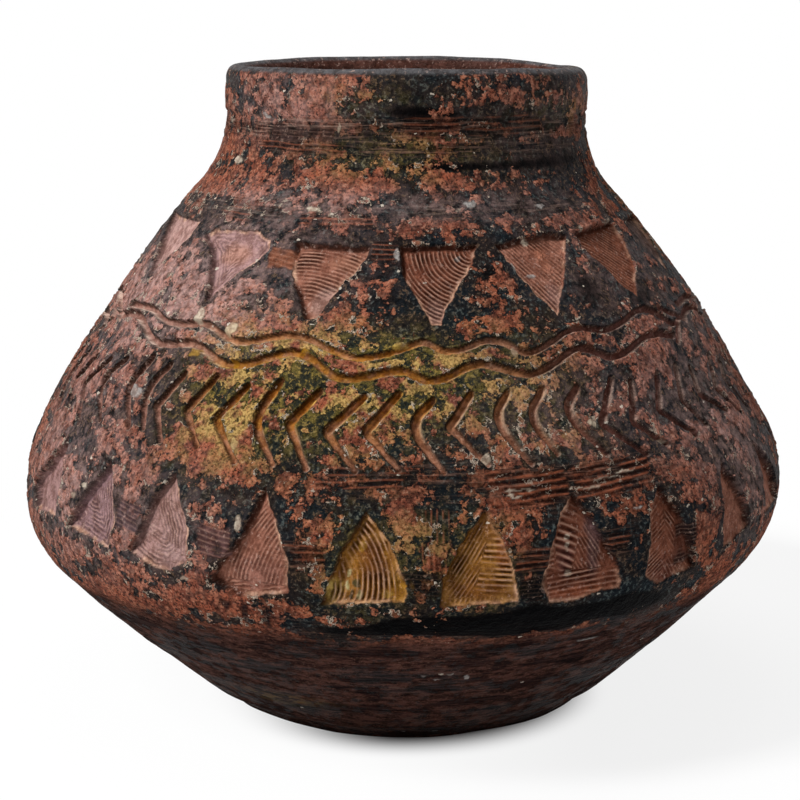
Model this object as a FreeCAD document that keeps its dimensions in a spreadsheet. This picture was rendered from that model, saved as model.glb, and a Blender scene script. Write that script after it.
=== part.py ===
# A large hand-built clay planter: a wide, low-bellied jar with a short straight neck.
# It is raised in level courses on a round base slab, and each band of cut ornament has a
# course of its own. Millimetres, +Z up, origin on the ground under the middle of the foot.
# Azimuths are in degrees round +Z from -Y, the front, and grow towards +X.
import FreeCAD, Part
import math
import os

import Sketcher
from FreeCAD import Vector

# Driving dimensions

SIZES = {
    # the outline, from the foot up: each stretch is an arc tangent to the next
    "foot_radius": 110,
    "belly_radius": 225,
    "belly_height": 134,
    "neck_radius": 105,
    "neck_length": 29,
    "bowl_curve": 940,
    "belly_curve": 66,
    "crown_curve": 640,
    "shoulder_curve": 62,
    "wall": 12,
    # the courses, from the ground up
    "foot_course_height": 40,
    "bowl_course_height": 63,
    "lower_triangle_course_height": 74,
    "chevron_course_height": 42,
    "wave_course_height": 28,
    "upper_triangle_course_height": 45,
    "shoulder_course_height": 33,
    "neck_course_height": 31,
    "rim_coil_height": 20,
    # the base
    "floor_height": 17,
    "foot_recess": 3,
    "slab_bottom_radius": 86,
    "slab_top_radius": 94,
    "drain_hole_radius": 10,
    # the cut ornament
    "lower_triangle_depth": 3.5,
    "upper_triangle_depth": 5,
    "upper_triangle_tip_depth": 1,
    "chevron_depth": 3.5,
    "chevron_stroke": 5.6,
    "chevron_rise": 16.5,
    "chevron_rise_reach": 12,
    "chevron_drop": 20,
    "chevron_drop_reach": 16,
    "chevron_flare": 8,
    "wave_groove_radius": 2,
    # how far every cutter runs past the clay
    "overrun": 10,
}

# Sizes worked out from the driving ones, as formulas in the same sheet.
# The centres of the bowl and crown arcs are where two circles meet.

DERIVED = {
    "bowl_course_base": "foot_course_height",
    "lower_triangle_course_base": "bowl_course_base + bowl_course_height",
    "chevron_course_base": "lower_triangle_course_base + lower_triangle_course_height",
    "wave_course_base": "chevron_course_base + chevron_course_height",
    "upper_triangle_course_base": "wave_course_base + wave_course_height",
    "shoulder_course_base": "upper_triangle_course_base + upper_triangle_course_height",
    "neck_course_base": "shoulder_course_base + shoulder_course_height",
    "rim_coil_base": "neck_course_base + neck_course_height",
    "total_height": "rim_coil_base + rim_coil_height",
    "lip_radius": "wall / 2",
    "belly_center_r": "belly_radius - belly_curve",
    "shoulder_center_r": "neck_radius + shoulder_curve",
    "shoulder_center_z": "total_height - neck_length",
    "bowl_gap": "sqrt((belly_center_r - foot_radius)^2 + belly_height^2)",
    "bowl_run": "(bowl_curve^2 - (bowl_curve - belly_curve)^2 + bowl_gap^2) / (2 * bowl_gap)",
    "bowl_offset": "sqrt(bowl_curve^2 - bowl_run^2)",
    "bowl_center_r": "foot_radius + ((belly_center_r - foot_radius) * bowl_run"
                     " - belly_height * bowl_offset) / bowl_gap",
    "bowl_center_z": "(belly_height * bowl_run"
                     " + (belly_center_r - foot_radius) * bowl_offset) / bowl_gap",
    "crown_gap": "sqrt((shoulder_center_r - belly_center_r)^2"
                 " + (shoulder_center_z - belly_height)^2)",
    "crown_run": "((crown_curve - belly_curve)^2 - (crown_curve + shoulder_curve)^2"
                 " + crown_gap^2) / (2 * crown_gap)",
    "crown_offset": "sqrt((crown_curve - belly_curve)^2 - crown_run^2)",
    "crown_center_r": "belly_center_r + ((shoulder_center_r - belly_center_r) * crown_run"
                      " - (shoulder_center_z - belly_height) * crown_offset) / crown_gap",
    "crown_center_z": "belly_height + ((shoulder_center_z - belly_height) * crown_run"
                      " + (shoulder_center_r - belly_center_r) * crown_offset) / crown_gap",
}

# Places of the ornament, read by eye round the front and carried on round the back.
# Each triangle: azimuths of its left corner, right corner and point, then the heights of
# its flat side and of its point, as shares of its course.

LOWER_TRIANGLE_shares = [
    (-71.0, -57.5, -60.5, 0.34, 0.95),
    (-55.2, -43.5, -46.5, 0.34, 0.93),
    (-40.3, -29.7, -33.7, 0.29, 0.94),
    (-26.6, -15.0, -19.3, 0.19, 0.92),
    (-11.4, -0.4, -5.0, 0.14, 0.81),
    (4.3, 15.1, 10.5, 0.13, 0.80),
    (18.2, 30.2, 23.6, 0.14, 0.87),
    (34.3, 44.6, 37.2, 0.15, 0.84),
    (50.4, 58.8, 52.8, 0.27, 0.89),
    (64.5, 75.0, 66.5, 0.30, 0.92),
    (77.8, 87.4, 80.5, 0.22, 0.90),
    (92.8, 103.5, 98.0, 0.18, 0.88),
    (107.5, 118.8, 112.2, 0.22, 0.90),
    (122.6, 133.4, 128.5, 0.17, 0.86),
    (138.0, 148.9, 142.6, 0.15, 0.84),
    (153.0, 164.0, 158.6, 0.19, 0.88),
    (168.0, 177.8, 172.4, 0.20, 0.90),
    (182.6, 193.4, 187.8, 0.16, 0.87),
    (198.0, 208.6, 202.5, 0.18, 0.85),
    (212.8, 224.0, 218.8, 0.20, 0.90),
    (228.0, 238.8, 232.6, 0.17, 0.87),
    (243.0, 253.6, 248.4, 0.19, 0.89),
    (257.4, 267.4, 262.0, 0.21, 0.91),
    (272.8, 283.0, 277.4, 0.25, 0.92),
]

UPPER_TRIANGLE_shares = [
    (-80.0, -58.5, -65.6, 0.95, 0.26),
    (-51.5, -31.5, -40.6, 0.91, 0.15),
    (-25.3, -7.3, -17.4, 0.87, 0.07),
    (-1.4, 16.1, 5.3, 0.86, 0.03),
    (19.9, 40.3, 28.8, 0.89, 0.05),
    (42.2, 61.4, 51.6, 0.93, 0.15),
    (68.0, 84.0, 73.0, 0.94, 0.24),
    (89.5, 106.0, 96.5, 0.90, 0.10),
    (111.0, 128.0, 118.0, 0.88, 0.08),
    (133.0, 150.0, 140.5, 0.90, 0.12),
    (154.5, 172.0, 163.0, 0.87, 0.06),
    (176.5, 194.0, 185.0, 0.89, 0.10),
    (198.5, 216.0, 207.0, 0.91, 0.13),
    (220.5, 237.5, 229.0, 0.88, 0.08),
    (242.0, 259.0, 250.0, 0.90, 0.15),
    (263.5, 276.0, 269.0, 0.93, 0.22),
]

# Each chevron: azimuth of its elbow, height of the elbow as a share of its course, and
# how far it is turned, in degrees.
CHEVRON_FRONT_shares = [
    (-58.7, 0.62, 0),
    (-50.3, 0.60, 0),
    (-45.6, 0.62, 2),
    (-41.8, 0.60, 0),
    (-35.6, 0.60, -1),
    (-29.7, 0.56, -3),
    (-23.5, 0.58, -2),
    (-17.5, 0.57, 1),
    (-11.7, 0.52, -3),
    (-5.9, 0.53, -1),
    (0.4, 0.58, -2),
    (6.5, 0.57, -1),
    (13.1, 0.60, 0),
    (18.7, 0.60, 2),
    (24.6, 0.60, -2),
    (30.8, 0.52, -4),
    (36.8, 0.52, 2),
    (43.2, 0.54, 0),
    (49.7, 0.57, 3),
    (55.6, 0.56, 5),
    (61.4, 0.58, 2),
]
CHEVRON_BACK_FIRST = 67.5
CHEVRON_BACK_STEP = 6.0
CHEVRON_BACK_COUNT = 39
CHEVRON_BACK_share = 0.57

# The pair of waves is one long groove that runs round a third of the jar: out along the
# upper wave, down a short stroke and back along the lower wave, to end just short of
# where it began. Each point is an azimuth from the pair's middle and a height as a share
# of the course.
WAVE_shares = [
    (-63.8, 0.69),
    (-63.9, 0.89),
    (-60.0, 0.92),
    (-51.5, 0.92),
    (-44.0, 0.79),
    (-34.6, 0.87),
    (-25.8, 0.61),
    (-16.0, 0.82),
    (-4.4, 0.48),
    (6.4, 0.76),
    (10.6, 0.58),
    (18.8, 0.75),
    (25.5, 0.51),
    (35.8, 0.85),
    (42.8, 0.76),
    (52.6, 0.91),
    (61.2, 0.76),
    (63.9, 0.53),
    (60.4, 0.35),
    (54.2, 0.55),
    (41.0, 0.28),
    (35.0, 0.51),
    (24.2, 0.14),
    (16.8, 0.37),
    (8.2, 0.12),
    (3.6, 0.27),
    (-5.8, 0.14),
    (-15.6, 0.53),
    (-26.2, 0.24),
    (-35.4, 0.52),
    (-43.4, 0.42),
    (-55.0, 0.76),
    (-59.6, 0.58),
    (-62.9, 0.57),
]
# The azimuth of each pair's middle, and how far the pair is drawn together.
WAVE_PAIRS = ((-4.0, 1.0), (118.7, 0.87), (233.3, 0.87))
# The number by which a swept shape's corners are mitred.
MITRED = 1


# The document and its sheet

doc = FreeCAD.newDocument("Planter")
sheet = doc.addObject("Spreadsheet::Sheet", "Sizes")


def fill_sheet():
    """Write every size and formula into the sheet, one alias to a row."""
    rows = [(name, str(value)) for name, value in SIZES.items()]
    rows += [(name, "=" + formula) for name, formula in DERIVED.items()]
    for row, (name, text) in enumerate(rows, start=1):
        sheet.set(f"A{row}", name)
        sheet.set(f"B{row}", text)
        sheet.setAlias(f"B{row}", name)
    doc.recompute()


def size(name):
    """The present value of a named size."""
    return float(sheet.get(name))


# Small helpers

def bind(thing, **formulas):
    """Bind properties of an object to formulas in named sizes."""
    for name, formula in formulas.items():
        thing.setExpression(name, formula)
    return thing


def origin_plane(body, role):
    """One of a body's own origin planes."""
    return [part for part in body.Origin.OriginFeatures if part.Role == role][0]


def new_sketch(body, name, role):
    """An empty sketch on one of the body's origin planes."""
    sketch = body.newObject("Sketcher::SketchObject", name)
    sketch.AttachmentSupport = [(origin_plane(body, role), "")]
    sketch.MapMode = "FlatFace"
    return sketch


def limit(sketch, kind, *places, formula=None, value=0.0):
    """Add one constraint to a sketch, bound to a formula where it has one."""
    if formula is None:
        return sketch.addConstraint(Sketcher.Constraint(kind, *places))
    index = sketch.addConstraint(Sketcher.Constraint(kind, *places, value))
    sketch.setExpression(f"Constraints[{index}]", formula)
    return index


def revolve(body, sketch):
    """Turn a sketch once round its upright axis."""
    turned = body.newObject("PartDesign::Revolution", body.Name + "Turned")
    turned.Profile = sketch
    turned.ReferenceAxis = (sketch, ["V_Axis"])
    turned.Angle = 360
    sketch.Visibility = False
    return turned


# The outline of the wall

def arc_between(center, radius, start, end):
    """The arc round a centre from one point to another, counter-clockwise."""
    first = math.atan2(start[1] - center[1], start[0] - center[0])
    last = math.atan2(end[1] - center[1], end[0] - center[0])
    circle = Part.Circle(Vector(center[0], center[1], 0), Vector(0, 0, 1), radius)
    return Part.ArcOfCircle(circle, first, last)


def on_circle(center, radius, height):
    """The point of a circle, on its outer side, at a height."""
    return center[0] + math.sqrt(radius ** 2 - (height - center[1]) ** 2), height


def towards(center, other, reach):
    """The point at a distance from a centre, in the direction of another point."""
    gap = math.hypot(other[0] - center[0], other[1] - center[1])
    share = reach / gap
    return (center[0] + (other[0] - center[0]) * share,
            center[1] + (other[1] - center[1]) * share)


def outline_arcs(inset):
    """Centres, radii and joining points of the bowl, belly, crown and shoulder arcs."""
    bowl = (size("bowl_center_r"), size("bowl_center_z"))
    belly = (size("belly_center_r"), size("belly_height"))
    crown = (size("crown_center_r"), size("crown_center_z"))
    shoulder = (size("shoulder_center_r"), size("shoulder_center_z"))
    radii = (size("bowl_curve") - inset, size("belly_curve") - inset,
             size("crown_curve") - inset, size("shoulder_curve") + inset)
    joins = (towards(bowl, belly, radii[0]), towards(crown, belly, radii[2]),
             towards(crown, shoulder, radii[2]))
    return bowl, belly, crown, shoulder, radii, joins


def outer_radius(height):
    """How far the outer face stands from the axis at a height."""
    bowl, belly, crown, shoulder, radii, joins = outline_arcs(0)
    if height < joins[0][1]:
        return on_circle(bowl, radii[0], height)[0]
    if height < joins[1][1]:
        return on_circle(belly, radii[1], height)[0]
    if height < joins[2][1]:
        return on_circle(crown, radii[2], height)[0]
    if height < shoulder[1]:
        return 2 * shoulder[0] - on_circle(shoulder, radii[3], height)[0]
    return size("neck_radius")


def draw_lower_arcs(sketch, inset, bottom, top, crown_end):
    """Draw and tie the bowl, belly and crown arcs, moved in by an inset."""
    bowl, belly, crown, shoulder, radii, joins = outline_arcs(size_of(inset))
    start = on_circle(bowl, radii[0], bottom)
    bowl_arc = sketch.addGeometry(arc_between(bowl, radii[0], start, joins[0]))
    belly_arc = sketch.addGeometry(arc_between(belly, radii[1], joins[0], joins[1]))
    crown_arc = sketch.addGeometry(arc_between(crown, radii[2], joins[1], top))
    limit(sketch, "Tangent", bowl_arc, 2, belly_arc, 1)
    limit(sketch, "Tangent", belly_arc, 2, crown_arc, 1)
    limit(sketch, "DistanceX", -1, 1, belly_arc, 3,
          formula="Sizes.belly_center_r", value=belly[0])
    limit(sketch, "DistanceY", -1, 1, belly_arc, 3,
          formula="Sizes.belly_height", value=belly[1])
    limit(sketch, "Radius", belly_arc,
          formula=f"Sizes.belly_curve - {inset}", value=radii[1])
    limit(sketch, "DistanceX", bowl_arc, 3, -1, 1,
          formula="-Sizes.bowl_center_r", value=-bowl[0])
    limit(sketch, "Radius", bowl_arc,
          formula=f"Sizes.bowl_curve - {inset}", value=radii[0])
    limit(sketch, "Radius", crown_arc,
          formula=f"Sizes.crown_curve - {inset}", value=radii[2])
    if crown_end:
        limit(sketch, "DistanceX", crown_arc, 3, -1, 1,
              formula="-Sizes.crown_center_r", value=-crown[0])
    return bowl_arc, crown_arc, start


def size_of(formula):
    """The number behind a formula that is zero or one named size."""
    return size(formula.replace("Sizes.", "")) if "Sizes." in formula else float(formula)


def draw_full_outline(sketch, inset, bottom, neck_top):
    """Draw and tie one whole side of the wall, from its bottom to the top of the neck."""
    bowl, belly, crown, shoulder, radii, joins = outline_arcs(size_of(inset))
    bowl_arc, crown_arc, start = draw_lower_arcs(sketch, inset, bottom, joins[2], False)
    neck_r = shoulder[0] - radii[3]
    waist = (neck_r, shoulder[1])
    hollow = Part.Circle(Vector(shoulder[0], shoulder[1], 0), Vector(0, 0, 1), radii[3])
    last = math.atan2(joins[2][1] - shoulder[1], joins[2][0] - shoulder[0]) + 2 * math.pi
    shoulder_arc = sketch.addGeometry(Part.ArcOfCircle(hollow, math.pi, last))
    neck_line = sketch.addGeometry(
        Part.LineSegment(Vector(*waist, 0), Vector(neck_r, neck_top, 0)))
    limit(sketch, "Tangent", crown_arc, 2, shoulder_arc, 2)
    limit(sketch, "Tangent", shoulder_arc, 1, neck_line, 1)
    limit(sketch, "DistanceX", -1, 1, shoulder_arc, 3,
          formula="Sizes.shoulder_center_r", value=shoulder[0])
    limit(sketch, "DistanceY", -1, 1, shoulder_arc, 3,
          formula="Sizes.shoulder_center_z", value=shoulder[1])
    limit(sketch, "Radius", shoulder_arc,
          formula=f"Sizes.shoulder_curve + {inset}", value=radii[3])
    limit(sketch, "Vertical", neck_line)
    return bowl_arc, neck_line, start, neck_r


def make_vessel():
    """The whole jar with its floor, before it is divided into courses."""
    body = doc.addObject("PartDesign::Body", "Vessel")
    sketch = new_sketch(body, "VesselSketch", "XZ_Plane")
    neck_top = size("total_height") - size("lip_radius")
    floor = size("floor_height")
    outer_bowl, outer_neck, foot, outer_r = draw_full_outline(sketch, "0", 0, neck_top)
    inner_bowl, inner_neck, heel, inner_r = draw_full_outline(
        sketch, "Sizes.wall", floor, neck_top)
    lip_center = Vector((outer_r + inner_r) / 2, neck_top, 0)
    lip_circle = Part.Circle(lip_center, Vector(0, 0, 1), size("lip_radius"))
    lip = sketch.addGeometry(Part.ArcOfCircle(lip_circle, 0, math.pi))
    ground = sketch.addGeometry(Part.LineSegment(Vector(0, 0, 0), Vector(*foot, 0)))
    floor_line = sketch.addGeometry(
        Part.LineSegment(Vector(0, floor, 0), Vector(*heel, 0)))
    axis = sketch.addGeometry(Part.LineSegment(Vector(0, 0, 0), Vector(0, floor, 0)))
    limit(sketch, "Tangent", outer_neck, 2, lip, 1)
    limit(sketch, "Tangent", lip, 2, inner_neck, 2)
    limit(sketch, "Coincident", ground, 1, -1, 1)
    limit(sketch, "Coincident", ground, 2, outer_bowl, 1)
    limit(sketch, "Horizontal", ground)
    limit(sketch, "Coincident", axis, 1, -1, 1)
    limit(sketch, "Coincident", axis, 2, floor_line, 1)
    limit(sketch, "Vertical", axis)
    limit(sketch, "Coincident", floor_line, 2, inner_bowl, 1)
    limit(sketch, "Horizontal", floor_line)
    limit(sketch, "DistanceY", -1, 1, floor_line, 1,
          formula="Sizes.floor_height", value=floor)
    limit(sketch, "DistanceY", -1, 1, outer_neck, 2,
          formula="Sizes.total_height - Sizes.lip_radius", value=neck_top)
    revolve(body, sketch)
    return body


# The plain courses

def slice_between(name, base, height):
    """A round slice of space between two level joints."""
    tool = doc.addObject("Part::Cylinder", name)
    return bind(tool, Radius="Sizes.belly_radius + Sizes.overrun", Height=height,
                **{"Placement.Base.z": base})


def plain_course(vessel, name, base, height):
    """The part of the jar's wall that lies between two level joints."""
    course = doc.addObject("Part::Common", name)
    course.Base = vessel
    course.Tool = slice_between(name + "_slice", base, height)
    return course


def cut_from(name, solid, tool):
    """One solid with another cut out of it."""
    cut = doc.addObject("Part::Cut", name)
    cut.Base = solid
    cut.Tool = tool
    return cut


def gather(name, tools):
    """Several cutters that don't touch, kept together."""
    group = doc.addObject("Part::Compound", name)
    group.Links = tools
    return group


# The base

def slab_tool():
    """The bevelled disc that the first course is luted round."""
    cone = doc.addObject("Part::Cone", "slab_space")
    return bind(cone, Radius1="Sizes.slab_bottom_radius",
                Radius2="Sizes.slab_top_radius", Height="Sizes.floor_height")


def make_base_slab(vessel):
    """The floor, hollowed a little underneath and pierced by a drain hole."""
    slab = doc.addObject("Part::Common", "slab_whole")
    slab.Base = vessel
    slab.Tool = slab_tool()
    recess = bind(doc.addObject("Part::Cylinder", "foot_recess_tool"),
                  Radius="Sizes.belly_radius", Height="Sizes.foot_recess")
    hole = bind(doc.addObject("Part::Cylinder", "drain_hole_tool"),
                Radius="Sizes.drain_hole_radius",
                Height="Sizes.floor_height + Sizes.overrun")
    return cut_from("base_slab", cut_from("slab_raised", slab, recess), hole)


def make_foot_course(vessel):
    """The first coil, which is the ring that the jar stands on."""
    coil = plain_course(vessel, "foot_course_whole", "0", "Sizes.foot_course_height")
    return cut_from("foot_course", coil, slab_tool())


# The cut ornament

def turned_to(azimuth, inner):
    """A placement formula, turned round the axis from the front."""
    return f"placement(vector(0; 0; 0); rotation(vector(0; 0; 1); {azimuth})) * {inner}"


def on_crown(azimuth, height, roll):
    """A placement on the crown: Z square to the clay, Y up the slope, then rolled."""
    rise = f"({height} - Sizes.crown_center_z)"
    reach = f"(Sizes.crown_center_r + sqrt(Sizes.crown_curve ^ 2 - {rise} ^ 2))"
    lean = f"90 deg - asin({rise} / Sizes.crown_curve)"
    seat = f"placement(vector(0; -{reach}; {height}); rotation(vector(1; 0; 0); {lean}))"
    spin = f"placement(vector(0; 0; 0); rotation(vector(0; 0; 1); {roll}))"
    return turned_to(azimuth, f"{seat} * {spin}")


def arc_length(radius, degrees):
    """A formula for the length of an arc, from its radius and its angle."""
    return f"({radius} * {degrees:g} * pi / 180)"


def lower_triangle_prism(number, left, right, point, side_share, point_share):
    """A triangular prism that points up and runs level through the belly's wall."""
    base = "Sizes.lower_triangle_course_base"
    height = "Sizes.lower_triangle_course_height"
    middle = (left + right) / 2
    radius = "Sizes.belly_radius"
    half = arc_length(radius, (right - left) / 2)
    tip = arc_length(radius, point - middle)
    prism = doc.addObject("Part::Wedge", f"lower_triangle_{number}")
    bind(prism, Xmin=f"-{half}", Xmax=half, X2min=tip, X2max=tip,
         Ymin="0", Ymax=f"{height} * {point_share - side_share:g}",
         Zmin="-Sizes.belly_curve / 2", Zmax="Sizes.overrun",
         Z2min="-Sizes.belly_curve / 2", Z2max="Sizes.overrun")
    level = f"{base} + {height} * {side_share:g}"
    seat = f"placement(vector(0; -{radius}; {level}); rotation(vector(1; 0; 0); 90))"
    prism.setExpression("Placement", turned_to(middle, seat))
    return prism


def make_belly_skin():
    """The outer layer of the belly, as deep as the lower triangles are cut."""
    body = doc.addObject("PartDesign::Body", "BellySkin")
    sketch = new_sketch(body, "BellySkinSketch", "XZ_Plane")
    inset = "Sizes.lower_triangle_depth"
    bowl, belly, crown, shoulder, radii, joins = outline_arcs(size_of(inset))
    low = size("bowl_course_base")
    high = size("wave_course_base")
    edge = size("belly_radius") + size("overrun")
    top = on_circle(crown, radii[2], high)
    bowl_arc, crown_arc, start = draw_lower_arcs(sketch, inset, low, top, True)
    corners = [start, (edge, low), (edge, high), top]
    lines = [sketch.addGeometry(Part.LineSegment(Vector(*one, 0), Vector(*two, 0)))
             for one, two in zip(corners, corners[1:])]
    limit(sketch, "Coincident", bowl_arc, 1, lines[0], 1)
    limit(sketch, "Coincident", lines[0], 2, lines[1], 1)
    limit(sketch, "Coincident", lines[1], 2, lines[2], 1)
    limit(sketch, "Coincident", lines[2], 2, crown_arc, 2)
    limit(sketch, "Horizontal", lines[0])
    limit(sketch, "Vertical", lines[1])
    limit(sketch, "Horizontal", lines[2])
    limit(sketch, "DistanceY", -1, 1, lines[0], 1,
          formula="Sizes.bowl_course_base", value=low)
    limit(sketch, "DistanceY", -1, 1, lines[2], 1,
          formula="Sizes.wave_course_base", value=high)
    limit(sketch, "DistanceX", -1, 1, lines[1], 1,
          formula="Sizes.belly_radius + Sizes.overrun", value=edge)
    revolve(body, sketch)
    return body


def make_lower_triangle_course(vessel):
    """The widest course, with a ring of upright triangles sunk into it."""
    course = plain_course(vessel, "lower_triangle_course_whole",
                          "Sizes.lower_triangle_course_base",
                          "Sizes.lower_triangle_course_height")
    prisms = [lower_triangle_prism(number, *row)
              for number, row in enumerate(LOWER_TRIANGLE_shares, start=1)]
    sunk = doc.addObject("Part::Common", "lower_triangle_recesses")
    sunk.Base = gather("lower_triangle_prisms", prisms)
    sunk.Tool = make_belly_skin()
    return cut_from("lower_triangle_course", course, sunk)


def upper_triangle_wedge(number, left, right, point, side_share, point_share):
    """A wedge that points down, deep along its top side and shallow at its point."""
    base = "Sizes.upper_triangle_course_base"
    height = "Sizes.upper_triangle_course_height"
    middle = (left + right) / 2
    level = f"({base} + {height} * {side_share:g})"
    rise = f"({level} - Sizes.crown_center_z)"
    radius = f"(Sizes.crown_center_r + sqrt(Sizes.crown_curve ^ 2 - {rise} ^ 2))"
    half = arc_length(radius, (right - left) / 2)
    tip = arc_length(radius, middle - point)
    slope = f"cos(asin({rise} / Sizes.crown_curve))"
    wedge = doc.addObject("Part::Wedge", f"upper_triangle_{number}")
    bind(wedge, Xmin=f"-{half}", Xmax=half, X2min=tip, X2max=tip,
         Ymin="0", Ymax=f"{height} * {side_share - point_share:g} / {slope}",
         Zmin="-Sizes.upper_triangle_depth", Zmax="Sizes.overrun",
         Z2min="-Sizes.upper_triangle_tip_depth", Z2max="Sizes.overrun")
    wedge.setExpression("Placement", on_crown(middle, level, 180))
    return wedge


def make_upper_triangle_course(vessel):
    """The course with a ring of hanging triangles."""
    course = plain_course(vessel, "upper_triangle_course_whole",
                          "Sizes.upper_triangle_course_base",
                          "Sizes.upper_triangle_course_height")
    wedges = [upper_triangle_wedge(number, *row)
              for number, row in enumerate(UPPER_TRIANGLE_shares, start=1)]
    return cut_from("upper_triangle_course", course,
                    gather("upper_triangle_wedges", wedges))


def make_chevron_tool():
    """One chevron, open to the right, that widens a little towards the outside."""
    body = doc.addObject("PartDesign::Body", "ChevronTool")
    sketch = new_sketch(body, "ChevronSketch", "XY_Plane")
    stroke = "Sizes.chevron_stroke"
    corners = [
        ("Sizes.chevron_rise_reach", "Sizes.chevron_rise"),
        ("0", "0"),
        ("Sizes.chevron_drop_reach", "-Sizes.chevron_drop"),
        (f"Sizes.chevron_drop_reach + {stroke}", "-Sizes.chevron_drop"),
        (stroke, "0"),
        (f"Sizes.chevron_rise_reach + {stroke}", "Sizes.chevron_rise"),
    ]
    rise = size("chevron_rise")
    drop = size("chevron_drop")
    out = size("chevron_rise_reach")
    under = size("chevron_drop_reach")
    wide = size("chevron_stroke")
    places = [(out, rise), (0, 0), (under, -drop), (under + wide, -drop), (wide, 0),
              (out + wide, rise)]
    count = len(places)
    for index, place in enumerate(places):
        following = places[(index + 1) % count]
        sketch.addGeometry(Part.LineSegment(Vector(*place, 0), Vector(*following, 0)))
    for index in range(count):
        limit(sketch, "Coincident", index, 2, (index + 1) % count, 1)
    for index, (across, upright) in enumerate(corners):
        pin_point(sketch, index, across, upright, places[index])
    pad = body.newObject("PartDesign::Pad", "ChevronPad")
    pad.Profile = sketch
    bind(pad, Length="Sizes.chevron_depth + Sizes.overrun / 2",
         TaperAngle="Sizes.chevron_flare")
    sketch.Visibility = False
    return body


def pin_point(sketch, line, across, upright, place):
    """Tie the start of a line to two formulas, or to an axis where one is zero."""
    for kind, formula, value in (("DistanceX", across, place[0]),
                                 ("DistanceY", upright, place[1])):
        if formula == "0":
            axis = -2 if kind == "DistanceX" else -1
            limit(sketch, "PointOnObject", line, 1, axis)
        elif value < 0:
            limit(sketch, kind, line, 1, -1, 1,
                  formula=formula.replace("-", "", 1), value=-value)
        else:
            limit(sketch, kind, -1, 1, line, 1, formula=formula, value=value)


def chevron_places():
    """Every chevron's azimuth, height share and turn, round the whole jar."""
    back = [(CHEVRON_BACK_FIRST + CHEVRON_BACK_STEP * step, CHEVRON_BACK_share, 0)
            for step in range(CHEVRON_BACK_COUNT)]
    return CHEVRON_FRONT_shares + back


def make_chevron_course(vessel):
    """The course with a ring of chevrons lying on their sides."""
    course = plain_course(vessel, "chevron_course_whole", "Sizes.chevron_course_base",
                          "Sizes.chevron_course_height")
    tool = make_chevron_tool()
    copies = []
    for number, (azimuth, share, roll) in enumerate(chevron_places(), start=1):
        height = f"(Sizes.chevron_course_base + Sizes.chevron_course_height * {share:g})"
        copy = doc.addObject("App::Link", f"chevron_{number}")
        copy.LinkedObject = tool
        sunk = "placement(vector(0; 0; -Sizes.chevron_depth); rotation(vector(0; 0; 1); 0))"
        copy.setExpression("Placement", f"{on_crown(azimuth, height, roll)} * {sunk}")
        copies.append(copy)
    return cut_from("chevron_course", course, gather("chevron_copies", copies))


def wave_point(azimuth, share):
    """A point of the wave groove on the outer face of its course."""
    height = size("wave_course_base") + size("wave_course_height") * share
    radius = outer_radius(height)
    angle = math.radians(azimuth)
    return Vector(radius * math.sin(angle), -radius * math.cos(angle), height)


def make_wave_groove(name, middle, squeeze):
    """The round cutter of one pair of waves, mitred where the path turns."""
    points = [wave_point(middle + azimuth * squeeze, share)
              for azimuth, share in WAVE_shares]
    circle = Part.Circle(points[0], points[1] - points[0], size("wave_groove_radius"))
    section = Part.Wire([circle.toShape()])
    groove = doc.addObject("Part::Feature", name)
    groove.Shape = Part.makePolygon(points).makePipeShell([section], True, False, MITRED)
    return groove


def make_wave_course(vessel):
    """The course with pairs of waves, three pairs to the round."""
    course = plain_course(vessel, "wave_course_whole", "Sizes.wave_course_base",
                          "Sizes.wave_course_height")
    grooves = [make_wave_groove(f"wave_groove_{number}", *pair)
               for number, pair in enumerate(WAVE_PAIRS, start=1)]
    return cut_from("wave_course", course, gather("wave_grooves", grooves))


# The whole planter

def make_planter():
    """Every piece, from the ground up."""
    fill_sheet()
    vessel = make_vessel()
    pieces = [
        make_base_slab(vessel),
        make_foot_course(vessel),
        plain_course(vessel, "bowl_course", "Sizes.bowl_course_base",
                     "Sizes.bowl_course_height"),
        make_lower_triangle_course(vessel),
        make_chevron_course(vessel),
        make_wave_course(vessel),
        make_upper_triangle_course(vessel),
        plain_course(vessel, "shoulder_course", "Sizes.shoulder_course_base",
                     "Sizes.shoulder_course_height"),
        plain_course(vessel, "neck_course", "Sizes.neck_course_base",
                     "Sizes.neck_course_height"),
        plain_course(vessel, "rim_coil", "Sizes.rim_coil_base",
                     "Sizes.rim_coil_height"),
    ]
    doc.recompute()
    return pieces


def check_and_write(pieces):
    """Stop on anything that failed, then write each piece to a file of its own."""
    for thing in doc.Objects:
        for state in ("Invalid", "Error"):
            if state in thing.State:
                raise RuntimeError(f"{thing.Name} is {thing.State}")
    os.makedirs("parts", exist_ok=True)
    for piece in pieces:
        piece.Label = piece.Name
        shape = piece.Shape
        if shape.isNull() or not shape.isValid():
            raise RuntimeError(f"{piece.Label} has no valid shape")
        print(f"{piece.Label}: {len(shape.Solids)} solid, {shape.Volume:.0f} mm3")
        shape.exportStep(f"parts/{piece.Label}.step")


check_and_write(make_planter())
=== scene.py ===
import math

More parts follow.
